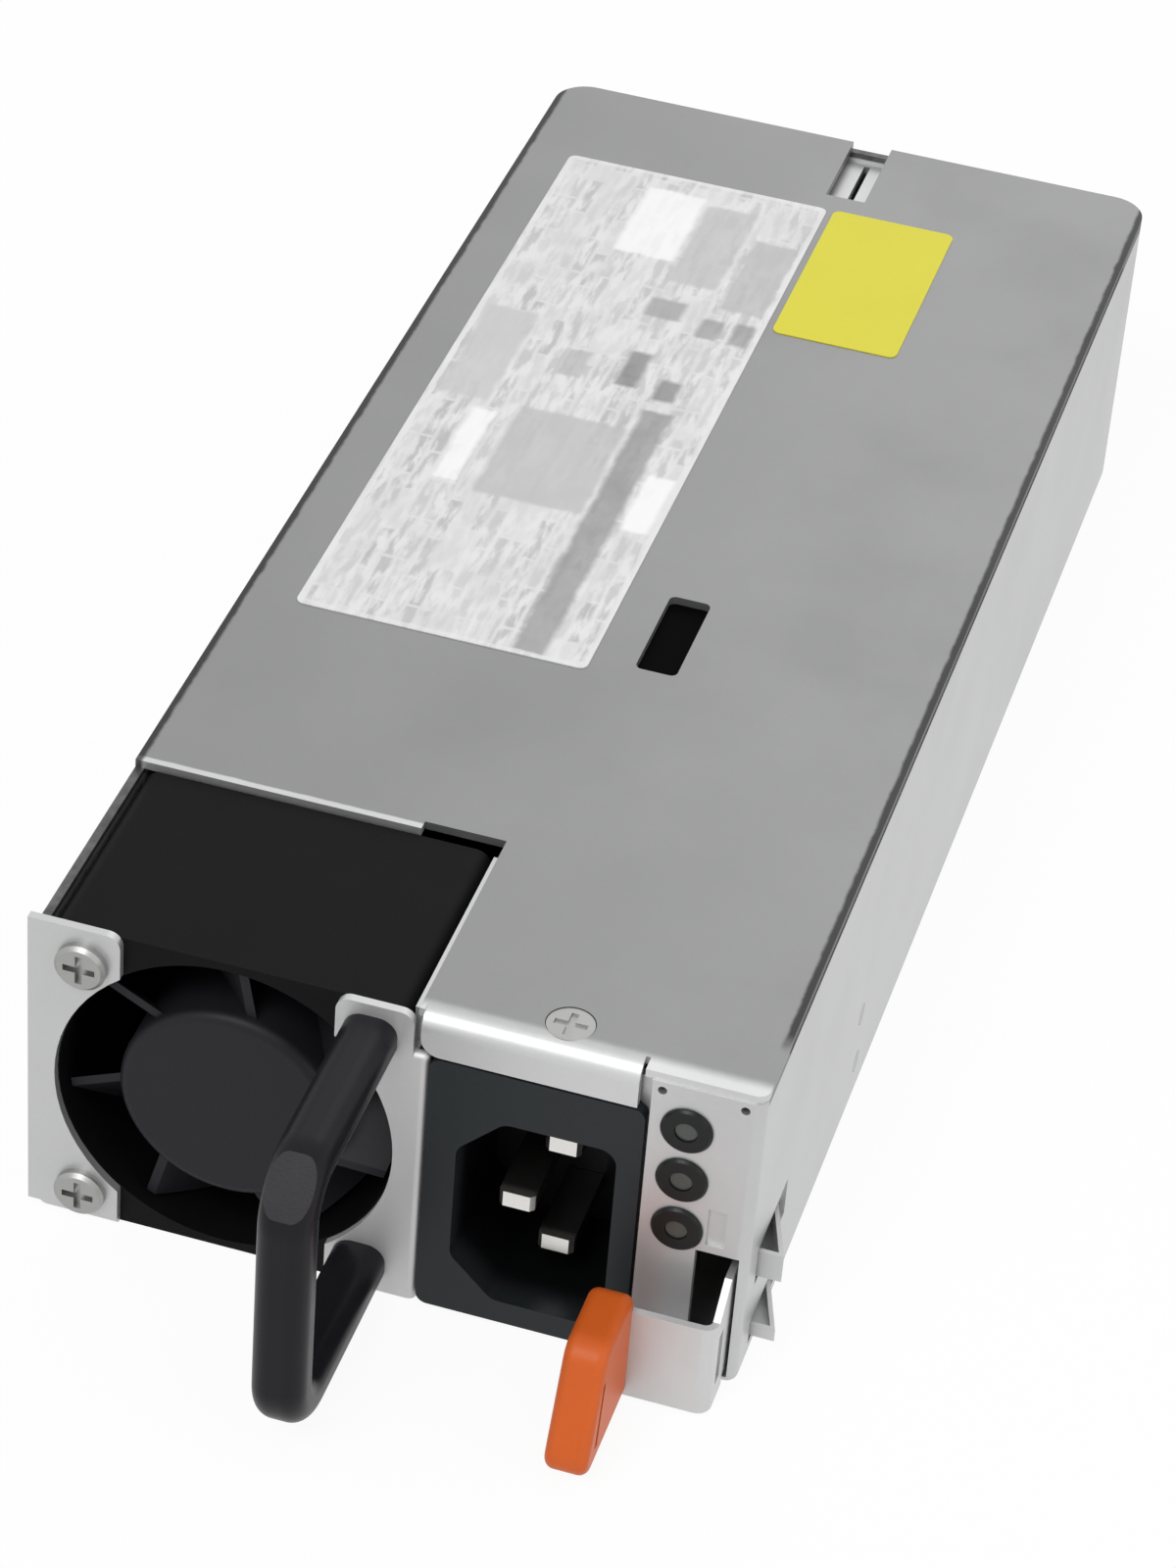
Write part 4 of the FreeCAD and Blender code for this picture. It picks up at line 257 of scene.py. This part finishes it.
# %% Dress the solids
ALONG_Y, ALONG_Z = (1, 30, 1), (1, 1, 30)  # how far a grain is drawn out on each axis
dressed = set()


def grey(level):
    """A neutral colour."""
    return (level, level, level)


def scaled(colour, factor):
    """A darker or paler shade of a colour."""
    return tuple(part * factor for part in colour)


def dress(finish, *names):
    """Give solids one finish, in each of their slots."""
    for name in names:
        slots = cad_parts[name].data.materials
        if not slots:
            slots.append(finish.material)
        for number in range(len(slots)):
            slots[number] = finish.material
        dressed.add(name)


print("solids that wait for a finish:", len(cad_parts))


# %% [markdown]
# ## Sheet steel
# The housing is folded from thin zinc-plated steel. Such sheet is a satin mid grey with faint
# clouds from the plating, a fine grain along the rolling direction and a few handling smudges.
# A picture of real steel could be wrapped round it, but it would stretch at the folds. Noise on
# Object coordinates has the same scale on every face. The clouds go into the colour, the grain
# into the relief, and the smudges into the gloss.

# %% Sheet steel
PLATED = 0.75  # how far the zinc acts as bare metal


def sheet_steel(name, level, rolled, gloss=0.38, painted_light_margins=None):
    """Plated sheet whose grain runs along one axis. The margins function may paint light or shade
    at its edges.
    """
    finish = Finish(name)
    clouds = finish.mottle(18 * MM, 4.0)
    grain = finish.mottle(0.35 * MM, 2.0, rolled)
    speckle = finish.mottle(0.6 * MM, 3.0, seed=3.0)
    smudges = finish.step(finish.mottle(30 * MM, 5.0, seed=7.0), 0.52, 0.72)
    tone = level * (0.90 + 0.16 * clouds + 0.05 * grain + 0.04 * speckle)
    if painted_light_margins:
        tone = painted_light_margins(finish, tone)
    finish.set(Base_Color=finish.node("ShaderNodeCombineColor", Red=tone, Green=tone * 1.004,
                                      Blue=tone * 1.01),
               Metallic=PLATED, Roughness=gloss + 0.08 * grain + 0.05 * smudges)
    finish.bump(grain * 0.6 + speckle * 0.4, 0.02 * MM, 0.35)
    return finish


plate_steel = sheet_steel("plate_steel", 0.58, ALONG_Z, gloss=0.50)
dress(plate_steel, "centre_bracket", "latch_leaf")
print("nodes in one sheet steel:", len(plate_steel.tree.nodes))


# %% [markdown]
# ## Painted highlights and shade at the margins
# Sheet steel is never the same all over, and here light and shade are painted into its colour
# too.
# The fold at the cover's front and its cut edge behind the fan get a painted highlight. Its bends
# along the sides get painted shade, for the shadow of the seam beside the walls, and so do the
# cut top edges of the walls. These places could be painted by hand, but each lies at a known
# distance from an edge of the cover or the fan, so they are worked out from the boxes of those
# solids. A little noise is added to the distance, so that the painted edges are not straight.

# %% The cover's margins
cover_low, cover_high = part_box("top_cover")
fan_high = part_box("fan_frame")[1]
FOLD_FULL, FOLD_END = 1.2 * MM, 3.2 * MM  # the bright fold, behind the cover's front edge
NOTCH_FULL, NOTCH_END = 1.2 * MM, 1.5 * MM  # the bright strip, behind the fan
BEND_FULL, BEND_END = 0.55 * MM, 1.05 * MM  # the dark bends, in from the cover's sides
BENDS_START, BENDS_FULL = 8 * MM, 11 * MM  # where they begin, behind the front edge
# painted light: the fold and the notch edge get a painted highlight, the side bends painted shade
FOLD_PAINTED_HIGHLIGHT, NOTCH_PAINTED_HIGHLIGHT, BEND_PAINTED_SHADE = 1.35, 1.2, 0.85


def cover_painted_light(finish, tone):
    """Painted highlights on the cover's front fold and notch edge, and painted shade along its
    side bends.
    """
    waver = 0.25 * MM * (finish.mottle(2 * MM, 4.0, seed=6.0) - 0.5)
    # painted highlight on the front fold, where front light catches the bend
    painted_fold_highlight = finish.step(finish.y + waver, cover_low.y + FOLD_END, cover_low.y + FOLD_FULL)
    # painted highlight on the cut edge behind the fan
    painted_notch_highlight = (finish.step(finish.y + waver, fan_high.y + NOTCH_END, fan_high.y + NOTCH_FULL)
             * (finish.x < fan_high.x) * (finish.y > fan_high.y))
    # painted shade along the side bends, for the shadow of the seam beside the walls
    painted_bend_shade = finish.step(abs(finish.x) + waver * 2, cover_high.x - BEND_END,
                       cover_high.x - BEND_FULL)
    painted_bend_shade *= finish.step(finish.y + waver * 8, cover_low.y + BENDS_START,
                        cover_low.y + BENDS_FULL)
    # the painted highlights of the fold and the notch lift the tone, and the bends get painted
    # shade
    shine = 1 + painted_fold_highlight * FOLD_PAINTED_HIGHLIGHT + painted_notch_highlight * NOTCH_PAINTED_HIGHLIGHT
    return tone * shine * (1 - BEND_PAINTED_SHADE * painted_bend_shade * (1 - painted_fold_highlight))


dress(sheet_steel("cover_steel", 0.245, ALONG_Y, painted_light_margins=cover_painted_light), "top_cover")
print("the fan ends", round((fan_high.y - cover_low.y) / MM, 1), "mm behind the cover's front")

# %% The walls' margins
EDGE_FULL, EDGE_END = 1.65 * MM, 1.9 * MM  # the dark cut edge, down from the cover's top
FLANGE_END, WALL_START = 1.1 * MM, 1.5 * MM  # behind the cover's front edge
# how dark the painted shade on the walls' top edges is
EDGE_PAINTED_SHADE = 0.80


def wall_painted_shade(finish, tone):
    """Painted shade on the walls' cut top edges behind the front flanges, for the shadow of the
    seam.
    """
    # painted shade along the walls' top edges, in patches
    edge = finish.step(finish.z, cover_high.z - EDGE_END, cover_high.z - EDGE_FULL)
    behind = finish.step(finish.y, cover_low.y + FLANGE_END, cover_low.y + WALL_START)
    patches = 0.8 + 0.4 * finish.mottle(1.5 * MM, 4.0, seed=8.0)
    return tone * (1 - EDGE_PAINTED_SHADE * edge * behind * patches)


dress(sheet_steel("wall_steel", 0.52, ALONG_Y, painted_light_margins=wall_painted_shade), "chassis", "inlet_bracket")
print("steel solids:", sorted(dressed))


# %% [markdown]
# ## Moulded plastics
# The fan, the handle and the inlet are moulded black plastic. Fine spark-eroded texture makes
# them dull, with a broad soft highlight. The pores could be real geometry, but they are only a
# fifth of a millimetre wide, so a noise bump does it. A slower noise lets the colour and the
# gloss drift a little, because no moulding is quite even.

# %% Moulded plastic
PORE_DEPTH = 0.03 * MM
PALE_FACTOR, PALE_LIFT = 1.3, 0.0015


def moulded(name, colour, gloss=0.42, pore=0.22, shine=0.5, painted_shade=None):
    """Textured plastic with a slightly uneven gloss. pore is in mm. A shading function may paint
    shade into it.
    """
    finish = Finish(name)
    pores = finish.mottle(pore * MM, 2.0)
    drift = finish.mottle(6 * MM, 3.0, seed=2.0)
    pale = tuple(part + PALE_LIFT for part in scaled(colour, PALE_FACTOR))
    colour = finish.mix(drift * 0.6 + pores * 0.3, colour, pale)
    if painted_shade:
        colour = painted_shade(finish, colour)
    finish.set(Base_Color=colour, Roughness=gloss + 0.12 * drift, Specular_IOR_Level=shine)
    finish.bump(pores, PORE_DEPTH, 0.5)
    return finish


fan_black = moulded("fan_black", (0.0024, 0.0024, 0.0026), gloss=0.50, shine=0.085)
dress(fan_black, "fan_frame", "rotor_magnet")
print("nodes in one moulded plastic:", len(fan_black.tree.nodes))


# %% [markdown]
# ## Hub, handle, inlet and tab
# The blacks differ: the fan is nearly pure black, its hub and the handle lean to blue, and the
# inlet leans to green. The release tab is orange, so that a hand finds it. The inlet needs one
# thing more: painted shade, which makes its recess deep black inside, where little light reaches.
# A second material on the inner faces could do that, but its edge would be hard. A step along Y
# darkens the one finish softly behind the mouth.

# %% Hub, handle, inlet and tab
RECESS_START, RECESS_FULL = 0.8 * MM, 5 * MM  # behind the inlet's front
# how dark the painted shade in the recess is
RECESS_PAINTED_SHADE = 0.9


def painted_recess_shade(finish, colour):
    """Painted shade: the inlet's recess is darkened behind its mouth, where little light reaches.
    """
    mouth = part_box("inlet_body")[0].y
    # painted shade, darkest deep in the recess
    recess_shade_mask = finish.step(finish.y, mouth + RECESS_START, mouth + RECESS_FULL)
    return finish.mix(recess_shade_mask * RECESS_PAINTED_SHADE, colour, grey(0.0))


dress(moulded("hub_black", (0.011, 0.0105, 0.0135), pore=0.16, shine=0.18), "impeller")
dress(moulded("handle_black", (0.0090, 0.0084, 0.0108), gloss=0.27, pore=0.30, shine=0.12),
      "handle")
dress(moulded("inlet_black", (0.011, 0.014, 0.016), gloss=0.40, pore=0.14, shine=0.25,
              painted_shade=painted_recess_shade), "inlet_body")
dress(moulded("tab_orange", (0.50, 0.086, 0.008), gloss=0.38, pore=0.30, shine=0.30),
      "release_tab")
print("dressed so far:", len(dressed))


# %% [markdown]
# ## Status lamps
# Each status lamp is a small window behind a black rim in the right front flange. The lamps are
# dark, as on a supply that is not plugged in. Glass could be made with transmission, but there is
# only a black board behind it, so a very smooth dark grey gives the same small glint.

# %% Status lamps and wires
dress(moulded("rim_black", (0.006, 0.007, 0.007), gloss=0.25, shine=0.22),
      "lamp_rings", "inlet_leads", "fan_lead")
dress(moulded("pipe_clear", (0.05, 0.055, 0.05), gloss=0.12, shine=0.4),
      "light_pipes", "status_lamps")
rim_low, rim_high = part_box("lamp_rings")
print("the three rims together are", round((rim_high.z - rim_low.z) / MM, 1), "mm high")


# %% [markdown]
# ## Bright metal
# Screws, pins, contacts and heat sinks are plated or turned. Turning and drawing leave fine lines
# in one direction, and handling leaves dull spots. An anisotropic shader could stretch the
# highlights, but the exported model would lose that, so the lines are noise stretched along one
# axis, in the colour and in a shallow bump.

# %% Bright metal
BARE = 0.95  # how far it acts as bare metal under its dull film


def bright_metal(name, colour, gloss, along=(1, 1, 1), painted_shading=None):
    """Plated or turned metal, with fine lines along one axis. A shading function may paint shade
    into its colour.
    """
    finish = Finish(name)
    lines = finish.mottle(0.3 * MM, 2.0, along)
    dull = finish.mottle(4 * MM, 3.0, seed=4.0)
    colour = finish.mix(lines * 0.5 + dull * 0.4, colour, scaled(colour, 0.82))
    if painted_shading:
        colour = painted_shading(finish, colour)
    finish.set(Base_Color=colour, Metallic=BARE, Roughness=gloss + 0.14 * dull)
    finish.bump(lines, 0.01 * MM, 0.4)
    return finish


screw_steel = bright_metal("screw_steel", (0.40, 0.40, 0.39), gloss=0.34)
dress(screw_steel, "fan_screws", "handle_screws", "board_screws")
print("nodes in one bright metal:", len(screw_steel.tree.nodes))


# %% [markdown]
# ## Rivets, contacts and sinks
# Each kind of small metal part has its own tone and gloss. The cover's screw has been driven in
# and out, so it is duller than the others. The card edge is gold, and the heat sinks are drawn
# aluminium, with their lines running up and down.

# %% Rivets, contacts and sinks
dress(bright_metal("driven_steel", (0.40, 0.40, 0.395), gloss=0.40), "cover_screw")
dress(bright_metal("plain_steel", (0.46, 0.46, 0.45), gloss=0.35),
      "bracket_rivets", "latch_rivets", "board_spacers", "fuse_clips",
      "rotor_yoke", "fan_shaft", "fan_bearings", "stator_core")
dress(bright_metal("finger_gold", (0.80, 0.55, 0.18), gloss=0.22, along=ALONG_Y), "gold_fingers")
dress(bright_metal("sink_metal", (0.55, 0.56, 0.57), gloss=0.34, along=ALONG_Z),
      "primary_heat_sink", "secondary_heat_sink")
print("dressed so far:", len(dressed))


# %% [markdown]
# ## Contact pins
# The three pins stand in the dark recess of the inlet. Their tips are bright, and behind the tips
# painted shade makes them dark, for the black recess that their sides reflect. The earth pin is
# longer than the others, so the place of each pin's tip is read from its own box, and two
# finishes are made by one helper.

# %% Contact pins
# the pins' metal, then the grey and the share of the painted shade on their shanks
PIN_METAL, PIN_PAINTED_DARK, PIN_PAINTED_SHADE = (0.80, 0.79, 0.76), 0.07, 0.85
TIP_END, SHANK_START = 0.5 * MM, 1.6 * MM  # behind the end of the pin


def pin_finish(name, pin):
    """Bright metal at the tip of a pin, and painted shade behind it."""
    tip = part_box(pin)[0].y

    def painted_dark_shank(finish, colour):
        # painted shade on the shank, for the black recess that it reflects
        shank = finish.step(finish.y, tip + TIP_END, tip + SHANK_START)
        return finish.mix(shank * PIN_PAINTED_SHADE, colour, grey(PIN_PAINTED_DARK))

    return bright_metal(name, PIN_METAL, gloss=0.16, along=ALONG_Y, painted_shading=painted_dark_shank)


dress(pin_finish("pin_metal", "pin_line"), "pin_line", "pin_neutral")
dress(pin_finish("earth_metal", "pin_earth"), "pin_earth")


# %% [markdown]
# ## Circuit boards
# A board is glass fibre under green solder mask, and its copper tracks show as paler, slightly
# raised lines. Real tracks could be drawn one by one, but the boards are seen only through the
# slots and at the card edge, so a brick texture a few millimetres wide stands for them.

# %% Circuit board
BRICKS_PER_METRE = 260.0


def circuit_board(name):
    """Green solder mask with faint tracks under it."""
    finish = Finish(name)
    place = finish.node("ShaderNodeMapping", Vector=finish.point, Scale=(BRICKS_PER_METRE,) * 3)
    bricks = finish.node("ShaderNodeTexBrick", Vector=place, Color1=grey(0.2), Color2=grey(0.5),
                         Mortar=grey(1.0), Scale=1.0, Mortar_Size=0.06)
    tracks = finish.node("ShaderNodeSeparateColor", Color=bricks)
    finish.set(Base_Color=finish.mix(tracks * 0.7, (0.012, 0.085, 0.035), (0.03, 0.19, 0.08)),
               Roughness=0.30 + 0.1 * finish.mottle(2 * MM))
    finish.bump(tracks, 0.03 * MM, 0.4)
    return finish


dress(circuit_board("board_green"),
      "main_board", "fan_driver_board", "lamp_board", "control_board")


# %% [markdown]
# ## Wound copper
# The chokes, the transformer and the motor are wound with enamelled wire, side by side. Hundreds
# of turns of real wire would be heavy, and they lie deep in the housing. A wave texture across
# the winding gives the ridges, in the colour and in the bump.

# %% Wound copper
WIRE_PITCH = 0.9 * MM
BANDS_PER_UNIT = 3  # about how many bands a wave texture draws where its scale is 1


def wound_copper(name):
    """Enamelled wire laid side by side: ridges across the winding."""
    finish = Finish(name)
    ridges = finish.node("ShaderNodeTexWave", {"bands_direction": "Y"}, out="Fac",
                         Vector=finish.point, Scale=1 / WIRE_PITCH / BANDS_PER_UNIT,
                         Distortion=0.6, Detail=1.0)
    finish.set(Base_Color=finish.mix(ridges, (0.20, 0.065, 0.02), (0.62, 0.27, 0.11)),
               Metallic=0.8, Roughness=0.28 + 0.12 * ridges)
    finish.bump(ridges, 0.3 * MM, 0.8)
    return finish


dress(wound_copper("copper"), "stator_coils", "filter_choke_winding", "boost_choke_winding",
      "transformer_winding", "output_bars")
print("dressed so far:", len(dressed))


# %% [markdown]
# ## Components on the board
# Relays, capacitors, cores and connectors are moulded, sleeved or fired, each in its own colour.
# All are smooth or finely textured and none is bare metal, so the finish of the moulded plastics
# serves for them too, with another gloss and another size of pore.

# %% Components
dress(moulded("film_black", (0.0008, 0.0008, 0.0008), gloss=0.6, shine=0.02),
      "cover_film", "board_film")
dress(moulded("relay_blue", (0.02, 0.06, 0.20)), "relay")
dress(moulded("capacitor_yellow", (0.60, 0.42, 0.05), gloss=0.45), "x_capacitor")
dress(moulded("ferrite", (0.035, 0.035, 0.038), gloss=0.55, pore=0.40),
      "filter_choke_core", "boost_choke_core", "transformer_core", "output_inductor")
dress(moulded("sleeve", (0.010, 0.011, 0.030), gloss=0.22),
      "bulk_capacitors", "output_capacitors")
dress(moulded("ceramic", (0.70, 0.68, 0.60), gloss=0.22), "fuse")
dress(moulded("package_black", (0.012, 0.012, 0.012), gloss=0.5),
      "power_transistors", "bridge_rectifier")
dress(moulded("nylon_white", (0.70, 0.69, 0.64), gloss=0.4), "fan_header", "fan_plug")
print("solids without a finish:", sorted(set(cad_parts) - dressed))


# %% [markdown]
# ## Label sheets
# Two paper labels lie on the cover. Each is a thin sheet with rounded corners. A plane with a
# Solidify modifier could do it, but a cube that is scaled to the label's size and bevelled at its
# four upright edges is closed from the start. Its place goes into its mesh, so that the object
# stays at the origin and a pattern on Object coordinates keeps its place on the housing.

# %% Label sheets
PAPER = 0.12 * MM
CORNER, CORNER_STEPS = 1.0 * MM, 4
corner_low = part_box("chassis")[0]
LEFT, FRONT, TOP = corner_low.x, corner_low.y, cover_high.z
RATING_PLACE = (7.1, 42.0), (63.8, 171.8)
NOTICE_PLACE = (42.9, 58.9), (140.6, 171.9)


def label_sheet(name, place, finish):
    """A thin sheet on the cover. Its place is in mm, across and along from the left front."""
    (left, right), (near, far) = place
    mesh = bmesh.new()
    bmesh.ops.create_cube(mesh, size=1.0)
    bmesh.ops.scale(mesh, vec=((right - left) * MM, (far - near) * MM, PAPER), verts=mesh.verts)
    bmesh.ops.translate(mesh, vec=(LEFT + (left + right) / 2 * MM, FRONT + (near + far) / 2 * MM,
                                   TOP + PAPER / 2), verts=mesh.verts)
    upright = [edge for edge in mesh.edges
               if abs(edge.verts[0].co.z - edge.verts[1].co.z) > PAPER / 2]
    bmesh.ops.bevel(mesh, geom=upright, offset=CORNER, offset_type="OFFSET",
                    segments=CORNER_STEPS, profile=0.5, affect="EDGES", material=-1)
    bmesh.ops.recalc_face_normals(mesh, faces=mesh.faces)
    data = bpy.data.meshes.new(name)
    mesh.to_mesh(data)
    mesh.free()
    data.materials.append(finish.material)
    piece = bpy.data.objects.new(name, data)
    bpy.context.scene.collection.objects.link(piece)
    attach(piece, "housing")
    return piece


print("labels are counted from", [round(value / MM, 1) for value in (LEFT, FRONT, TOP)], "mm")


# %% [markdown]
# ## The rating label
# A rating label is silvery paper full of small print, boxes and bars. This part carries no
# lettering, so rows of soft grey bars stand where print would be, and plain blocks where boxes
# would be. The rows are a brick texture whose brick lengths differ, and noise makes them ragged.
# The blocks are a table of places and grey levels, and a loop mixes them in one after another.

# %% The rating label's blocks
BLOCKS = (  # across from and to, along from and to, grey level
    ((19.0, 26.8), (151.5, 168.0), 0.92), ((27.5, 34.0), (147.0, 166.5), 0.50),
    ((35.3, 41.2), (143.0, 160.5), 0.46), ((8.4, 14.8), (112.0, 133.0), 0.54),
    ((19.0, 32.4), (93.0, 112.5), 0.48), ((13.6, 16.6), (94.0, 110.0), 0.92),
    ((37.6, 41.0), (92.0, 104.0), 0.92), ((33.0, 36.8), (64.4, 117.5), 0.27),
    ((20.6, 23.6), (121.0, 127.0), 0.45), ((28.0, 30.8), (121.5, 129.5), 0.17),
    ((33.2, 36.0), (120.0, 124.5), 0.22), ((34.2, 37.0), (135.5, 140.0), 0.30),
    ((38.4, 41.0), (135.5, 140.5), 0.28), ((26.8, 31.6), (138.0, 142.5), 0.34),
)
BORDER = 0.8  # mm of bare paper round the print
BLOCK_BLUR, BORDER_BLUR, BORDER_SHARE = 0.5, 0.2, 0.5
BAR_LENGTH, BAR_PITCH = 8.5, 1.9
PAPER_TONE, PRINT_TONE, FADED_TONE, BORDER_TONE = 0.74, 0.30, 0.62, 0.78


def print_rows(finish, across, along):
    """Rows of soft bars: how dark the print is, from 0 to 1."""
    place = finish.node("ShaderNodeCombineXYZ", X=along, Y=across)
    bricks = finish.node("ShaderNodeTexBrick", {"offset": 0.37, "offset_frequency": 3},
                         Vector=place, Color1=grey(0.0), Color2=grey(1.0), Mortar=grey(0.0),
                         Scale=1.0, Mortar_Size=0.5, Mortar_Smooth=1.0,
                         Brick_Width=BAR_LENGTH, Row_Height=BAR_PITCH)
    rows = finish.node("ShaderNodeSeparateColor", Color=bricks)
    ragged = finish.step(finish.mottle(1.1 * MM, 3.0, (1, 4, 1), 5.0), 0.36, 0.60)
    return (0.25 + rows) * ragged


print("blocks on the rating label:", len(BLOCKS))

# %% The rating label's paper
def rating_paper():
    """Silvery paper with rows of soft bars, blank boxes and one long grey stripe."""
    finish = Finish("rating_paper")
    fibres = finish.mottle(0.6 * MM, 4.0)
    waver = 0.9 * MM * (finish.mottle(3 * MM, 3.0, seed=9.0) - 0.5)
    across, along = (finish.x - LEFT + waver) / MM, (finish.y - FRONT + waver) / MM
    blots = finish.mottle(4.2 * MM, 4.0, (1, 1.6, 1), 11.0)
    rows = print_rows(finish, across, along) * (0.2 + 0.7 * blots)
    colour = finish.mix(rows, grey(PAPER_TONE), grey(PRINT_TONE))
    colour = finish.mix(finish.step(blots, 0.44, 0.68) * 0.55, colour, grey(FADED_TONE))
    for (left, right), (near, far), level in BLOCKS:
        inside = (finish.band(across, left, right, BLOCK_BLUR)
                  * finish.band(along, near, far, BLOCK_BLUR))
        colour = finish.mix(inside * (0.62 + 0.4 * blots), colour, grey(level))
    (left, right), (near, far) = RATING_PLACE
    printed = (finish.band(across, left + BORDER, right - BORDER, BORDER_BLUR)
               * finish.band(along, near + BORDER, far - BORDER, BORDER_BLUR))
    colour = finish.mix((printed < 0.5) * BORDER_SHARE, colour, grey(BORDER_TONE))
    finish.set(Base_Color=colour, Roughness=0.42 + 0.1 * fibres, Metallic=0.1)
    finish.bump(fibres, 0.02 * MM, 0.3)
    return finish


rating_label = label_sheet("rating_label", RATING_PLACE, rating_paper())
print("rating label:", [round(size / MM, 1) for size in rating_label.dimensions], "mm")


# %% [markdown]
# ## The yellow label
# Beside it lies a smaller label of bright yellow paper. It is left bare. Paper that has been in
# warm air for years fades unevenly, so a slow noise mixes two yellows, and the fibres are a faint
# bump. A flat yellow would look like plastic.

# %% The yellow label
YELLOW, FADED_YELLOW = (0.72, 0.66, 0.008), (0.64, 0.58, 0.006)


def notice_paper():
    """Bare yellow paper."""
    finish = Finish("notice_paper")
    fibres = finish.mottle(0.8 * MM, 4.0)
    fade = finish.mottle(12 * MM, 3.0, seed=2.0)
    finish.set(Base_Color=finish.mix(fade * 0.6 + fibres * 0.2, YELLOW, FADED_YELLOW),
               Roughness=0.40 + 0.1 * fibres)
    finish.bump(fibres, 0.02 * MM, 0.3)
    return finish


notice_label = label_sheet("notice_label", NOTICE_PLACE, notice_paper())
print("yellow label:", [round(size / MM, 1) for size in notice_label.dimensions], "mm")


# %% [markdown]
# ## Floor
# The part lies on a white table. A floor that is only pale would render grey, and more light on
# it would wash out the part. So the floor glows to the camera and in reflections, by a mix whose
# factor asks Light Path what kind of ray has come, and it stays an ordinary pale surface for the
# light that it gives back. The mix stops short of 1, so that the part's shadow still shows.

# %% Floor
FLOOR_GLOW = 0.93


def seen_plainly(tree):
    """1 for rays from the camera, off gloss and through glass, and 0 for light on surfaces."""
    camera_ray, glossy_ray, clear_ray = (tree.node("ShaderNodeLightPath", out=f"Is {kind} Ray")
                                         for kind in ("Camera", "Glossy", "Transmission"))
    either = camera_ray.maths("MAXIMUM", camera_ray, glossy_ray)
    return either.maths("MAXIMUM", either, clear_ray)


def white_floor():
    """White to the camera and to reflections, but still darkened by the part's shadow."""
    finish = Finish("floor_white")
    finish.set(Base_Color=grey(0.92), Roughness=0.9)
    glow = finish.node("ShaderNodeEmission", Color=grey(1.0), Strength=1.0)
    blend = finish.node("ShaderNodeMixShader", at0=FLOOR_GLOW * seen_plainly(finish),
                        at1=Wire(finish.shader.outputs[0]), at2=glow)
    join(finish.tree.nodes["Material Output"].inputs["Surface"], blend)
    return finish


floor_finish = white_floor()
print("nodes in the floor's finish:", len(floor_finish.tree.nodes))

# %% Lay the floor
FLOOR_HALF, FLOOR_DROP = 3.0, 0.2 * MM


def lay_floor():
    """A wide flat square just under the part."""
    mesh = bmesh.new()
    bmesh.ops.create_grid(mesh, x_segments=1, y_segments=1, size=FLOOR_HALF)
    bmesh.ops.translate(mesh, vec=(0, 0, -FLOOR_DROP), verts=mesh.verts)
    data = bpy.data.meshes.new("floor")
    mesh.to_mesh(data)
    mesh.free()
    data.materials.append(floor_finish.material)
    floor = bpy.data.objects.new("floor", data)
    bpy.context.scene.collection.objects.link(floor)
    floor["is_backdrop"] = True
    return floor


floor = lay_floor()
print("floor:", [round(size, 1) for size in floor.dimensions], "m")


# %% [markdown]
# ## Soft boxes
# Broad soft light suits a part that is half dark plastic and half steel. One square lamp in front
# models the face, one at the right lights the long wall, and one behind draws the far edges. Area
# lamps are chosen because steel shows their size as a soft highlight, where a point lamp would
# give it a hard white dot.

# %% Soft boxes
SOFT_BOXES = {  # place, width in metres and power in watts
    "key": ((-0.22, -0.80, 0.95), 0.5, 6.0),
    "side": ((1.1, -0.4, 0.6), 0.8, 3.5),
    "rim": ((0.1, 1.0, 0.8), 0.8, 2.0),
}


def area_lamp(name, place, size, power):
    """A square soft box that faces the part."""
    data = bpy.data.lights.new(name, "AREA")
    data.shape, data.size, data.energy = "SQUARE", size, power
    lamp = bpy.data.objects.new(name, data)
    bpy.context.scene.collection.objects.link(lamp)
    lamp.location = place
    lamp.rotation_mode = "QUATERNION"
    lamp.rotation_quaternion = (-Vector(place)).to_track_quat("-Z", "Y")


for name, (place, size, power) in SOFT_BOXES.items():
    area_lamp(name, place, size, power)
print("soft boxes:", ", ".join(SOFT_BOXES))


# %% [markdown]
# ## World
# The rest of the light comes evenly from all round. The same question to Light Path makes the
# world white behind the part and in its reflections, while it lights surfaces at a plain level.
# The Standard view shows each colour about as it is written here.

# %% World
WORLD_LIGHT = 0.58


def even_world():
    """Plain light from all sides, behind which the camera sees white."""
    world = bpy.data.worlds.new("world")
    world.use_nodes = True
    bpy.context.scene.world = world
    background = world.node_tree.nodes["Background"]
    background.inputs["Color"].default_value = (1, 1, 1, 1)
    join(background.inputs["Strength"],
         WORLD_LIGHT + (1 - WORLD_LIGHT) * seen_plainly(Tree(world.node_tree)))


even_world()
bpy.context.scene.view_settings.view_transform = "Standard"
print("view:", bpy.context.scene.view_settings.view_transform)


# %% [markdown]
# ## Size
# Finishes add nothing to the size, and the labels add only the thickness of their paper. Both
# boxes are worked out, the solids' own and the dressed part's, and how far each corner moved is
# printed.

# %% Compare the sizes
visual_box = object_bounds()
for side, cad, visual in zip(("low", "high"), cad_box, visual_box):
    print(side, "corner moved by (mm):", [round((b - a) / MM, 2) for a, b in zip(cad, visual)])
